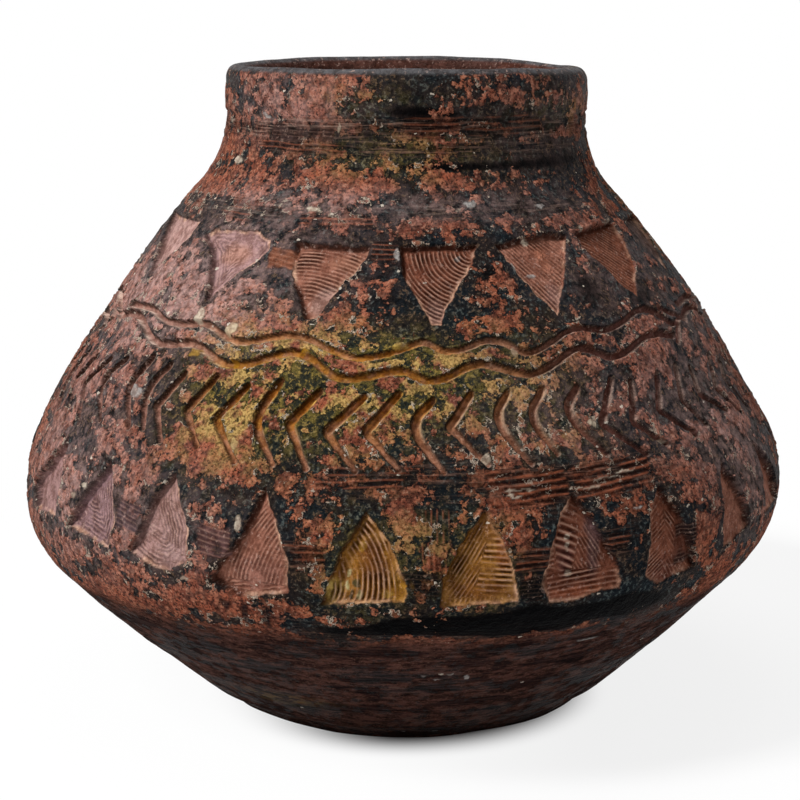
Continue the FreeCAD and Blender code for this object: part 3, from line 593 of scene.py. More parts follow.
UPPER_WAVE = [(-65.5, 244.5), (-55.1, 246), (-51.5, 242.7), (-48.5, 241), (-43, 241.6),
              (-38.2, 243.8), (-34, 238.9), (-30, 236), (-26, 238.6), (-20, 242),
              (-16.8, 240.2), (-11.8, 234.5), (-8.5, 232), (-5, 232.8), (-0.1, 237.3),
              (2.7, 240.4), (4, 239.4), (6.4, 235), (9.4, 236), (12.9, 239.7),
              (15, 240.1), (17.1, 239), (20, 233.6), (21.6, 233.1), (25, 236.2),
              (29.5, 241.7), (32, 242.9), (36.6, 240.9), (38.6, 240), (42.6, 242.1),
              (48.2, 246.8), (51, 247.2), (54.8, 244.2), (57.5, 236.8), (59.8, 236.6)]
LOWER_WAVE = [(-66.8, 237.5), (-63.5, 240.1), (-59.3, 241), (-56.1, 238.6), (-53.4, 234.8),
              (-50.8, 231.9), (-47.5, 230.3), (-42.9, 232.1), (-39.4, 233.6),
              (-35.1, 229.6), (-32.9, 226.5), (-30, 225.6), (-26.8, 226.7),
              (-23.2, 230.8), (-19.9, 233.9), (-16.5, 232.5), (-13.2, 225.9),
              (-10.6, 222.4), (-8, 222.6), (-3.5, 225.7), (-0.1, 227), (2, 223),
              (4, 221.6), (6.3, 222.8), (10.2, 228.4), (12.8, 229.6), (16.7, 226.1),
              (20.4, 222.5), (24.6, 226.1), (29.7, 233.2), (31.7, 233.4), (34.6, 230),
              (37, 226.6), (41.2, 228.5), (46.8, 233.9), (50.2, 234.6), (53.8, 233),
              (56.2, 231.3)]
# Points, half-width and depth of each line, short strokes at the ends among them
WAVES = [(UPPER_WAVE, 1.75, 2.6), (LOWER_WAVE, 2.05, 3.0),
         ([(-75.4, 245.7), (-66, 236.2)], 1.9, 1.8), ([(56.5, 227.5), (61.8, 238.6)], 1.9, 1.8)]
# They are drawn again round the back: (turn, squeeze)
WAVE_TURNS = [(0, 1), (122.7, 0.87), (237.3, 0.87)]

for turn, squeeze in WAVE_TURNS:
    for line, width, depth in WAVES:
        placed = chaikin([(turn - 4 + (a + 4) * squeeze if turn else a, z) for a, z in line], 2)
        groove(placed, [width] * len(placed), depth, WAVE_CLAY, 300 + int(turn))

# The chevrons: azimuth and height of the top, the elbow and the bottom of each
CHEVRONS = [
    (-54.4, 219.5, -58.7, 205.3, -53.5, 188.2), (-47.5, 223.5, -50.3, 206.9, -45.8, 188.8),
    (-42.7, 221.8, -45.6, 207.1, -42.7, 189.9), (-38.6, 218.6, -41.8, 201.7, -38.3, 185.5),
    (-32, 219.4, -35.6, 202, -31.5, 186), (-25.8, 216.4, -29.7, 200.2, -24.7, 180.8),
    (-20.1, 219.9, -23.5, 200.8, -18.9, 181.3), (-13.5, 216, -17.5, 200.9, -14, 180.4),
    (-6.4, 214.2, -11.7, 198.2, -7.1, 180.2), (-1.1, 216.2, -5.9, 198.8, -1, 181.2),
    (4.1, 213.1, 0.4, 201.4, 5.3, 179.7), (10.2, 215.7, 6.5, 200.6, 11.6, 182.7),
    (16.2, 215.6, 13.1, 203.6, 18, 181.5), (22.1, 215.7, 18.7, 203.8, 22.2, 185.4),
    (28.4, 215.4, 24.6, 204.3, 30.3, 182), (35.2, 216.8, 30.8, 196.9, 37.4, 179.1),
    (39.2, 214.1, 36.8, 195.3, 41.9, 181.7), (46.2, 216, 43.2, 198.4, 49.5, 182.3),
    (52.3, 217.4, 49.7, 200.8, 53.3, 185), (56.4, 214.1, 55.6, 200.4, 61.9, 188.2),
]
ROUNDED = (0, 1, 2, 6, 10, 12, 13, 14)
for step in range(40):
    at = 62.0 + 6.0 * step
    wobble = math.sin(step * 2.3)
    CHEVRONS.append((at + 4.2 + 0.3 * wobble, 216.0 + wobble, at, 200.6 + 1.5 * wobble,
                     at + 4.8 - 0.4 * wobble, 182.5 + 1.5 * math.cos(step * 1.9)))
for number, corners in enumerate(CHEVRONS):
    top, elbow, bottom = np.reshape(corners, (3, 2))
    if number in ROUNDED or (number > 20 and number % 5 == 2):
        line = chaikin([top, elbow, bottom], 2)
    else:
        line = chaikin([top, (top + elbow) / 2, top * 0.12 + elbow * 0.88, elbow,
                        bottom * 0.12 + elbow * 0.88, (bottom + elbow) / 2, bottom], 1)
    share = np.linspace(0, 1, len(line))
    widths = 1.45 + 0.85 * np.sin(np.clip(share * 1.15 + 0.05, 0, 1) * math.pi) ** 0.7
    groove(line, list(widths), 3.3, CHEVRON_CLAY, 400 + number)


# The photo's own points, brought onto the face

def on_face(x, y):
    """Azimuth and height of the point of the outer face that a photo pixel shows."""
    across = (x - AXIS_PX) / FOCAL_PX
    up = (PHOTO_PX / 2 - y) / FOCAL_PX
    way = np.array((across, math.cos(CAMERA_PITCH) + up * math.sin(CAMERA_PITCH),
                    -math.sin(CAMERA_PITCH) + up * math.cos(CAMERA_PITCH)))
    far = np.arange(CAMERA_BACK - 260, CAMERA_BACK + 150, 0.5)
    points = np.array((0, -CAMERA_BACK, CAMERA_Z)) + far[:, None] * way
    radius = np.hypot(points[:, 0], points[:, 1])
    height = np.clip(points[:, 2], 0, TOP_Z - LIP_R)
    hit = np.nonzero((radius <= wall_radius(height, 0)) & (points[:, 2] < TOP_Z))[0]
    index = hit[0] if len(hit) else int(np.argmin(radius - wall_radius(height, 0)))
    spot = points[index]
    return math.degrees(math.atan2(spot[0], -spot[1])), float(height[index])


# A photo's pixels to a millimetre of the face, level and upright
PX_LEVEL, PX_UPRIGHT = 2.05, 1.75


def photo_spot(x, y, wide, high, least=0.4):
    """Azimuth and height at a photo pixel, and what half sizes in pixels are there in mm."""
    azimuth, z = on_face(x, y)
    lean = max(math.cos(math.radians(azimuth)), least)
    return azimuth, z, wide / PX_LEVEL / lean, high / PX_UPRIGHT


def blobs(rows):
    """A field made of soft patches."""
    total = np.zeros(SHAPE)
    for x, y, wide, high, amount in rows:
        azimuth, z, half_u, half_v = photo_spot(x, y, wide, high, 0.35)
        u = np.radians(turned(AZ, azimuth)) * wall_radius(HEIGHT, 0)
        v = SECTION - section_at(z)
        total += amount * np.exp(-(u / half_u) ** 2 - (v / half_v) ** 2)
    return total


# Soft patches: photo x and y, half-width and half-height in pixels, and amount.
# Where the dark slip shows (positive) and where the red crust covers it (negative)
SLIP = [
    (285, 95, 60, 22, -1), (320, 115, 60, 12, -0.8), (400, 90, 50, 25, 0.9),
    (500, 92, 70, 26, 0.1), (570, 95, 20, 30, 0.2), (430, 114, 120, 9, 0.9),
    (470, 130, 100, 9, 0.5), (270, 132, 40, 8, 0.5), (450, 168, 120, 7, 0.6),
    (330, 165, 45, 14, -0.6), (250, 165, 30, 12, -0.3), (420, 165, 110, 14, 0.5),
    (560, 160, 60, 18, 0.9), (300, 205, 90, 12, 0.3), (430, 210, 90, 10, 0.7),
    (540, 205, 70, 18, 0.8), (330, 186, 80, 8, -0.5), (600, 230, 40, 20, -0.3),
    (400, 150, 120, 10, 0.5), (592, 150, 26, 34, 0.9), (586, 116, 18, 20, 0.8),
    (668, 272, 40, 44, 0.9), (570, 474, 90, 14, 0.5), (180, 240, 40, 30, -0.4),
    (386, 268, 22, 30, 1), (488, 275, 22, 28, 1), (275, 275, 16, 36, 0.6), (586, 285, 22, 30, 1),
    (400, 302, 90, 16, 0.7), (500, 318, 90, 18, 0.5), (600, 320, 60, 18, 0.2),
    (640, 300, 30, 20, 0.7), (700, 330, 40, 25, 0.5), (160, 310, 60, 24, -0.7),
    (250, 300, 30, 20, -0.3), (110, 380, 40, 40, -0.5), (200, 400, 50, 40, -0.1),
    (290, 362, 60, 18, -0.6), (420, 360, 60, 14, -0.5), (520, 400, 80, 40, 0.1),
    (620, 400, 60, 50, 0.2), (700, 420, 50, 50, 0.3), (60, 450, 30, 50, -0.6),
    (120, 470, 50, 30, -0.6), (92, 440, 26, 24, 1.2), (98, 402, 12, 20, 1.1),
    (175, 468, 14, 10, 1), (232, 492, 24, 26, 0.9), (54, 428, 12, 18, 0.7), (236, 80, 12, 40, 0.9),
    (290, 235, 60, 8, 0.6), (220, 460, 60, 20, -0.4), (330, 480, 60, 22, 0.2),
    (430, 490, 60, 18, 0.3), (620, 480, 60, 20, 0.1), (200, 530, 26, 40, 0.1),
    (310, 550, 30, 46, 0.4), (430, 560, 26, 40, 0.7), (538, 570, 22, 46, 0.9),
    (635, 560, 20, 40, 0.7), (60, 540, 40, 26, -0.3), (110, 590, 60, 20, -0.9),
    # The strong positive rows near y 620 to 630 blacken the band under the belly: dark slip, and
    # painted shade under the overhang
    (250, 612, 62, 14, -1.3), (400, 630, 200, 18, 1.6), (262, 630, 46, 18, -1.9),
    (420, 641, 50, 7, -1.9), (528, 638, 40, 8, -1.7), (345, 622, 30, 8, -1.3),
    (600, 622, 26, 8, -1.2), (560, 620, 100, 20, 1.4), (300, 640, 70, 12, 0.5),
    (650, 600, 50, 22, 0.7),
]
# Where the yellow wash lies
OCHRE_WASH = [
    (230, 400, 60, 60, 0.8), (300, 365, 70, 30, 1), (380, 365, 70, 30, 1),
    (320, 415, 110, 38, 0.85), (430, 385, 70, 34, 0.8), (520, 378, 60, 44, 0.45),
    (400, 155, 90, 20, 0.7), (560, 112, 40, 18, 0.35), (380, 100, 60, 16, 0.3),
    (360, 570, 40, 46, 0.7), (480, 570, 40, 46, 0.6), (425, 545, 30, 30, 0.4),
    (560, 440, 50, 20, 0.3), (282, 698, 44, 12, 0.8),
]
# Where the surface is dusty, pink and pale: partly pale dust, partly a painted sheen
DUST_AND_SHEEN = [
    (160, 280, 90, 60, 0.9), (90, 400, 60, 90, 0.65), (60, 500, 60, 60, 0.65),
    (240, 240, 50, 40, 0.8), (190, 300, 70, 40, 0.6), (150, 520, 80, 50, 0.5),
    (300, 110, 80, 40, 0.35), (330, 260, 50, 40, 0.3), (640, 250, 40, 40, 0.3),
    (760, 460, 40, 60, 0.6), (690, 420, 60, 60, 0.3), (260, 100, 60, 40, 0.3),
    (280, 205, 120, 22, 0.45), (500, 210, 110, 18, 0.3), (580, 410, 100, 50, 0.35),
    (540, 125, 70, 50, 0.3), (700, 330, 60, 60, 0.45), (420, 206, 170, 16, 0.35),
    (735, 440, 50, 90, 0.35), (585, 90, 26, 24, 0.5), (590, 260, 60, 50, 0.35),
]
# Where level tool marks show
STREAKS = [
    (400, 128, 190, 7, 1), (400, 150, 190, 8, 0.7), (235, 206, 70, 12, 0.6),
    (500, 210, 150, 12, 0.3), (570, 480, 110, 20, 1), (300, 556, 26, 12, 0.8),
    (535, 558, 20, 14, 0.9), (620, 540, 18, 14, 0.8), (400, 480, 60, 16, 0.5),
    (400, 640, 260, 20, 0.3), (110, 600, 80, 24, 0.4), (400, 690, 200, 30, 0.6),
    (170, 650, 90, 20, 0.5), (620, 650, 90, 20, 0.5),
]

# Where pale grit is thick
PALE_GRIT = [
    (215, 200, 50, 20, 0.9), (140, 300, 70, 34, 0.9), (225, 335, 44, 18, 1),
    (540, 420, 70, 40, 0.5), (480, 455, 34, 14, 0.7), (240, 610, 40, 20, 0.8),
    (600, 470, 60, 20, 0.6), (430, 520, 40, 16, 0.6), (330, 210, 60, 16, 0.6),
]

# Smooth blocks between the triangles: photo x and y, half-width and half-height in pixels,
# colour, and the way, strength and pitch of their comb marks
SLOT = (14, 16, 20)
BLOCKS = [
    (440, 530, 15, 18, (50, 48, 42), 90, 0.6, 2.9),
    (437, 562, 14, 16, (104, 62, 42), 90, 0.6, 2.9),
    (303, 556, 22, 10, (112, 66, 48), 2, 0.7, 3.4), (535, 559, 21, 9, (116, 64, 46), 2, 0.8, 3.2),
    (620, 540, 13, 6, (104, 62, 50), 2, 0.8, 2.9), (128, 516, 14, 13, (104, 84, 88), -12, 0.3),
    (420, 586, 20, 13, (16, 14, 14)), (533, 590, 14, 12, (16, 13, 13)), (228, 603, 4, 6, SLOT),
    (247, 614, 4, 13, SLOT), (268, 617, 4, 11, SLOT), (298, 626, 6, 6, SLOT),
    (214, 541, 18, 14, (116, 84, 82), -10, 0.4, 2.8), (300, 134, 36, 7, (74, 56, 54), 0, 0.2),
    (283, 258, 14, 11, (160, 100, 74), -12, 0.3, 3), (690, 545, 10, 20, (44, 32, 32), 0, 0.3),
    (530, 488, 42, 16, (146, 80, 54), 3, 1, 4), (615, 478, 42, 16, (136, 74, 52), 5, 1, 3.8),
    (385, 252, 13, 12, (84, 50, 40), 0, 0.6, 3), (250, 212, 34, 9, (86, 90, 92), -3, 0.6, 3.6),
    (335, 222, 40, 7, (92, 62, 54), 2, 0.5, 3.2), (480, 126, 80, 8, (34, 30, 31), 1, 0.5, 3.4),
    (300, 147, 50, 5, (96, 66, 58), -1, 0.6, 2.8), (360, 478, 44, 10, (84, 54, 44), 3, 0.5, 3.6),
]


def photo_patch(x, y, wide, high, times, spare_u, spare_v):
    """A patch some times as large as a spot of the photo, and the spot's half sizes."""
    azimuth, z, half_u, half_v = photo_spot(x, y, wide, high)
    return half_u, half_v, Patch(azimuth, z, half_u * times + spare_u,
                                 z - half_v * times - spare_v, z + half_v * times + spare_v)


def block(x, y, wide, high, rgb, way=0, strength=0.1, pitch=2.4):
    """A patch pressed smooth, with comb marks."""
    half_u, half_v, patch = photo_patch(x, y, wide, high, 1, 6, 3)
    seed = int(x)
    u, v = patch.warp(1.6, 5.0, seed)
    inside = smooth(np.abs(u) - half_u, 1.0, -1.0) * smooth(np.abs(v) - half_v, 1.0, -1.0)
    ragged = smooth(noise(patch.points, 6.0, seed + 7), -0.7, 0.2)
    lay(patch, inside * (0.35 + 0.5 * ragged) * (0.45 if strength > 0.4 else 1), rgb)
    phase = patch.across(way) + 0.8 * noise(patch.points, 12.0, seed)
    put_comb(patch, inside > 0.05, phase * COMB_PITCH / pitch, inside * strength * ragged)


for row in BLOCKS:
    block(*row)

# Where the floor of a recess changes colour, in its own tints and as painted highlight on some lit
# walls:
# photo x and y, half-width and half-height in pixels, colour and amount
DABS = [
    (325, 303, 15, 16, (166, 132, 122), 0.8), (437, 313, 11, 13, (160, 124, 114), 0.8),
    (556, 296, 9, 14, (150, 112, 104), 0.7), (236, 252, 16, 12, (188, 136, 112), 0.6),
    (331, 594, 9, 11, (204, 178, 104), 0.8), (402, 592, 10, 12, (184, 134, 50), 0.8),
    (374, 562, 12, 18, (104, 60, 48), 0.6), (392, 545, 7, 18, (190, 140, 64), 0.5),
    (484, 524, 9, 12, (128, 84, 44), 0.7), (456, 574, 9, 20, (84, 58, 24), 0.6),
    (506, 548, 7, 18, (160, 96, 54), 0.6), (480, 592, 30, 8, (122, 74, 38), 0.6),
    (598, 545, 8, 28, (96, 76, 78), 0.7), (582, 592, 30, 6, (164, 92, 62), 0.6),
    (566, 560, 9, 18, (122, 80, 76), 0.5), (255, 575, 26, 14, (150, 104, 92), 0.6),
    (666, 575, 14, 14, (104, 62, 52), 0.6), (168, 552, 16, 18, (178, 146, 142), 0.5),
    (545, 255, 7, 16, (168, 108, 84), 0.6), (350, 262, 22, 8, (152, 104, 82), 0.5),
]


def dab(x, y, wide, high, rgb, amount):
    """A soft change of colour that stays inside what is already painted."""
    half_u, half_v, patch = photo_patch(x, y, wide, high, 2, 4, 4)
    u, v = patch.warp(2.0, 6.0, x + y)
    held = smooth(paint[patch.cells][..., 3], 0.5, 0.95)
    lay(patch, amount * held * smooth(np.hypot(u / half_u, v / half_v), 1.5, 0.6), rgb)


for row in DABS:
    dab(*row)

# Pale grit and lumps that catch the eye, by colour: photo x and y, half-width and
# half-height in pixels
CREAM = (214, 200, 180)
GREY = (176, 172, 168)
GOLD = (184, 148, 76)
FLAKES = [
    (CREAM, [(232, 329, 7, 6), (201, 316, 5, 8), (401, 346, 9, 3), (487, 460, 4, 5),
     (593, 424, 5, 4), (664, 443, 5, 3), (236, 445, 3, 6), (88, 485, 4, 3), (77, 494, 3, 3),
     (186, 577, 6, 3), (240, 523, 4, 8), (570, 538, 3, 3), (570, 547, 3, 3), (572, 575, 4, 3),
     (528, 241, 4, 3), (339, 128, 2, 6), (240, 160, 5, 4), (315, 210, 8, 3), (515, 352, 3, 5),
     (520, 490, 16, 1), (512, 497, 10, 1), (590, 488, 14, 1), (607, 479, 16, 1),
     (626, 471, 12, 1)]),
    (GREY, [(139, 392, 8, 7), (514, 268, 2, 6), (533, 275, 5, 2), (397, 255, 4, 7),
     (458, 257, 3, 3), (268, 115, 4, 3), (470, 204, 8, 4), (540, 206, 7, 3), (640, 508, 6, 2),
     (423, 677, 3, 3), (438, 680, 4, 1), (451, 675, 4, 2), (468, 678, 3, 5), (433, 730, 7, 1),
     (404, 731, 3, 1), (590, 640, 14, 2)]),
    ((196, 190, 150), [(349, 576, 3, 4)]),
    ((70, 76, 66), [(356, 586, 3, 5)]),
    ((200, 196, 160), [(347, 588, 2, 5)]),
    ((190, 188, 158), [(360, 597, 3, 5)]),
    ((64, 70, 60), [(352, 597, 2, 4)]),
    (GOLD, [(387, 596, 5, 4), (235, 363, 4, 3), (305, 352, 5, 2), (196, 352, 6, 5),
     (362, 548, 4, 5)]),
    ((196, 130, 104), [(543, 254, 3, 6)]),
]
for rgb, spots in FLAKES:
    for x, y, wide, high in spots:
        half_u, half_v, patch = photo_patch(x, y, wide, high, 1, 8, 5)
        u, v = patch.warp(1.2, 2.6, x + y)
        mask = smooth(np.hypot(u / half_u, v / half_v), 1.15, 0.85)
        lay(patch, mask * 0.85, rgb)
        put(relief, patch, 0.4 * mask, np.add)


def washed(rows, pitch, seed, low, high, most):
    """Soft patches in front, and patches of noise behind."""
    behind = smooth(layered(PLACE, pitch, seed), low, high) * backness * most
    return np.clip(blobs(rows), 0, 1) + behind


frontness = smooth(np.abs(turned(AZ, 0)), 95, 70)
backness = 1 - frontness
wide_noise = layered(PLACE, 60.0, 31)
slip = blobs(SLIP) * frontness + (0.5 * wide_noise + 0.12) * backness
# A dark band under the belly round the back: dark slip, and painted shade under the overhang
slip += hump(HEIGHT, 101, 11) * backness
ochre = washed(OCHRE_WASH, 70.0, 47, 0.25, 0.6, 0.6)
dust_and_sheen = washed(DUST_AND_SHEEN, 90.0, 53, 0.1, 0.5, 0.5)
grit = np.maximum(grit, np.clip(blobs(PALE_GRIT), 0, 1))
streak = np.maximum(np.clip(blobs(STREAKS), 0, 1), 0.7 * hump(HEIGHT, 343, 5))
underside = smooth(HEIGHT, 100, 82)

# Relief of the bare clay: uneven building, a ledge under the rim band, tool ridges, crust
ledge = 0.7 * smooth(HEIGHT, 349.2, 350.4) * smooth(HEIGHT, 373, 368)
ledge -= 0.5 * hump(HEIGHT, 348.6, 0.9)
ledge += 0.5 * hump(HEIGHT - 336.5, 1.2 * wide_noise, 1.3)
ledge -= 0.25 * hump(HEIGHT - 293.6, wide_noise, 1.1)
flat = PLACE * np.array((0.05, 0.05, 1.0))
lines = noise(flat, 3.4, 71) * 0.6 + noise(flat, 1.7, 72) * 0.4
drawn_out = PLACE * np.array((0.45, 0.45, 1.7))
crust = (0.36 * layered(PLACE, 22.0, 61) + 0.34 * layered(drawn_out, 12.0, 68, 4)
         + 0.38 * layered(PLACE, 5.5, 69) + CRUST_COVER - 0.26 * slip - 0.22 * halo)
bare = 1 - np.clip(carve * 2, 0, 1)
lumps = layered(PLACE, 5.0, 62, 2)
at_lip = smooth(HEIGHT, 361, 368)
relief += bare * (1 - underside) * (1 - 0.92 * at_lip) * (
    0.6 * smooth(crust, -0.04, 0.04) + 0.38 * lumps)
relief += bare * (0.5 * lines * streak + ledge + 0.2 * lines * underside)
relief += 0.9 * noise(PLACE, 55.0, 65) + 0.35 * noise(PLACE, 19.0, 66)
ridge = 0.5 - 0.5 * np.cos(comb / COMB_PITCH * 2 * math.pi)
relief += 0.65 * (ridge - 0.5) * combing
relief *= smooth(SECTION, 6, 22)

# The whole section, inside face included
full_relief = np.zeros(phi_grid.shape)
full_relief[outer] = relief
inner_rows = slice(OUTER_END, len(ROWS))
inside_points = base[inner_rows]
inner_lines = noise(inside_points * np.array((0.06, 0.06, 1)), 9.0, 75)
full_relief[inner_rows] = 0.5 * noise(inside_points, 24.0, 76) + 0.35 * inner_lines
blend = smooth(np.arange(OUTER_END - BLEND_ROWS, OUTER_END + 1), OUTER_END - BLEND_ROWS,
               OUTER_END)[:, None]
full_relief[OUTER_END - BLEND_ROWS:OUTER_END + 1] = (
    relief[-BLEND_ROWS - 1:] * (1 - blend) + full_relief[OUTER_END][None] * blend)
full_relief[inner_rows] *= smooth(FINE_S[-1] - ROWS[inner_rows], 0, 8)[:, None]
surface = base + out_dir * full_relief[..., None]
surface[..., 2] = np.maximum(surface[..., 2], 0)
surface[..., 2] -= RIM_SINK * smooth(surface[..., 0], 55, 104) * smooth(z_grid, 345, 372)


def grid_normals(points):
    """Outward unit normals of a grid that closes on itself round the columns."""
    along = np.gradient(points, axis=0)
    across = np.roll(points, -1, axis=1) - np.roll(points, 1, axis=1)
    normal = np.cross(across, along)
    return normal / (np.linalg.norm(normal, axis=-1)[..., None] + 1e-12)


normals = grid_normals(surface)


def full_field(values, inside):
    """An outer field carried on to the inner face with one value."""
    whole = np.full(phi_grid.shape + values.shape[2:], inside, float)
    whole[outer] = values
    return whole


INTERIOR = np.append(to_linear((86, 56, 48)), 0.9)
paint_full = full_field(paint, INTERIOR)
lip_share = smooth(HEIGHT, 372.0, 374.4)[..., None]
lip_rgb = np.append(to_linear((88, 87, 89)), 1.0)
paint_full[outer] = paint_full[outer] * (1 - lip_share) + lip_rgb * lip_share
past_lip = np.arange(len(ROWS)) > LIP_ROW
inner_lip = smooth(ROW_Z[past_lip], 373.2, 375.0)[:, None, None]
paint_full[past_lip] = INTERIOR * (1 - inner_lip) + lip_rgb * inner_lip
fields = {key: full_field(values, inside) for key, values, inside in (
    ("crust", crust, 0.08), ("comb", comb, 0), ("combing", combing, 0), ("slip", slip, 0.2),
    ("ochre", np.clip(ochre, 0, 1), 0), ("dust_and_sheen", np.clip(dust_and_sheen, 0, 1), 0.1),
    ("streak", np.maximum(streak, underside * 0.5), 0.2), ("grit", np.clip(grit, 0, 1), -0.1),
    ("under", underside, 0))}


# Meshes

def place_object(name, data):
    made = bpy.data.objects.new(name, data)
    bpy.context.scene.collection.objects.link(made)
    return made


def ring_mesh(name, points, normal, values, colours):
    """A closed ring: rows follow the section round, columns go round the axis."""
    rows, columns = points.shape[:2]
    row = np.arange(rows)[:, None]
    column = np.arange(columns)[None]
    here = row * columns + column
    right = row * columns + (column + 1) % columns
    above = (row + 1) % rows * columns + column
    corner = (row + 1) % rows * columns + (column + 1) % columns
    faces = np.stack([here, right, corner, above], -1).reshape(-1)
    mesh = bpy.data.meshes.new(name)
    mesh.vertices.add(rows * columns)
    mesh.vertices.foreach_set("co", (points * MM).astype(np.float32).ravel())
    mesh.loops.add(len(faces))
    mesh.loops.foreach_set("vertex_index", faces.astype(np.int32))
    mesh.polygons.add(len(faces) // 4)
    mesh.polygons.foreach_set("loop_start", np.arange(0, len(faces), 4, dtype=np.int32))
    mesh.update(calc_edges=True)
    mesh.polygons.foreach_set("use_smooth", np.ones(len(faces) // 4, bool))
    for key, field in values.items():
        attribute = mesh.attributes.new(key, "FLOAT", "POINT")
        attribute.data.foreach_set("value", field.astype(np.float32).ravel())
    attribute = mesh.attributes.new("paint", "FLOAT_COLOR", "POINT")
    attribute.data.foreach_set("color", colours.astype(np.float32).ravel())
    mesh.normals_split_custom_set_from_vertices(normal.reshape(-1, 3).astype(np.float32))
    return place_object(name, mesh)


class Graph:
    """The nodes of a material or a world, written as nested calls."""

    def __init__(self, owner):
        owner.use_nodes = True
        self.owner, self.tree = owner, owner.node_tree
        self.tree.nodes.clear()

    def node(self, kind, inputs=(), **settings):
        made = self.tree.nodes.new(kind)
        for key, value in settings.items():
            setattr(made, key, value)
        for key, value in dict(inputs).items():
            self.put(made.inputs[key], value)
        return made

    def put(self, socket, value):
        if isinstance(value, bpy.types.NodeSocket):
            self.tree.links.new(value, socket)
        else:
            socket.default_value = value

    def math(self, operation, *values):
        return self.node("ShaderNodeMath", enumerate(values), operation=operation).outputs[0]

    def add(self, a, b):
        return self.math("ADD", a, b)

    def times(self, a, b):
        return self.math("MULTIPLY", a, b)

    def mix(self, share, low, high, blend="MIX"):
        made = self.node("ShaderNodeMix", data_type="RGBA", blend_type=blend)
        self.put(made.inputs[0], share)
        for socket, value in ((made.inputs[6], low), (made.inputs[7], high)):
            if isinstance(value, tuple):
                value = (*to_linear(value), 1.0)
            self.put(socket, value)
        return made.outputs[2]

    def over(self, low, high, value, start, end, most=1.0):
        """One colour that gives way to another where a value goes from start to end."""
        return self.mix(self.step(value, start, end, 0.0, most), low, high)

    def step(self, value, low, high, to_low=0.0, to_high=1.0):
        return self.node("ShaderNodeMapRange", enumerate((value, low, high, to_low, to_high)),
                         interpolation_type="SMOOTHSTEP").outputs[0]

    def place(self, scale, move):
        spot = self.node("ShaderNodeTexCoord").outputs["Object"]
        return self.node("ShaderNodeMapping", {"Vector": spot, "Location": move,
                                               "Scale": scale}).outputs[0]

    def noise(self, pitch, detail, rough, move=(0, 0, 0), scale=(1, 1, 1)):
        return self.node("ShaderNodeTexNoise", {
            "Vector": self.place(scale, move), "Scale": 1000.0 / pitch, "Detail": detail,
            "Roughness": rough}).outputs["Fac"]

    def cells(self, pitch, move, scale=(1, 1, 1)):
        return self.node("ShaderNodeTexVoronoi", {
            "Vector": self.place(scale, move), "Scale": 1000.0 / pitch}, feature="F1").outputs

    def seen(self):
        """1 for the camera's rays, and for what metal or glass would show."""
        rays = self.node("ShaderNodeLightPath").outputs
        return self.math("MAXIMUM", rays["Is Camera Ray"], self.math(
            "MAXIMUM", rays["Is Glossy Ray"], rays["Is Transmission Ray"]))


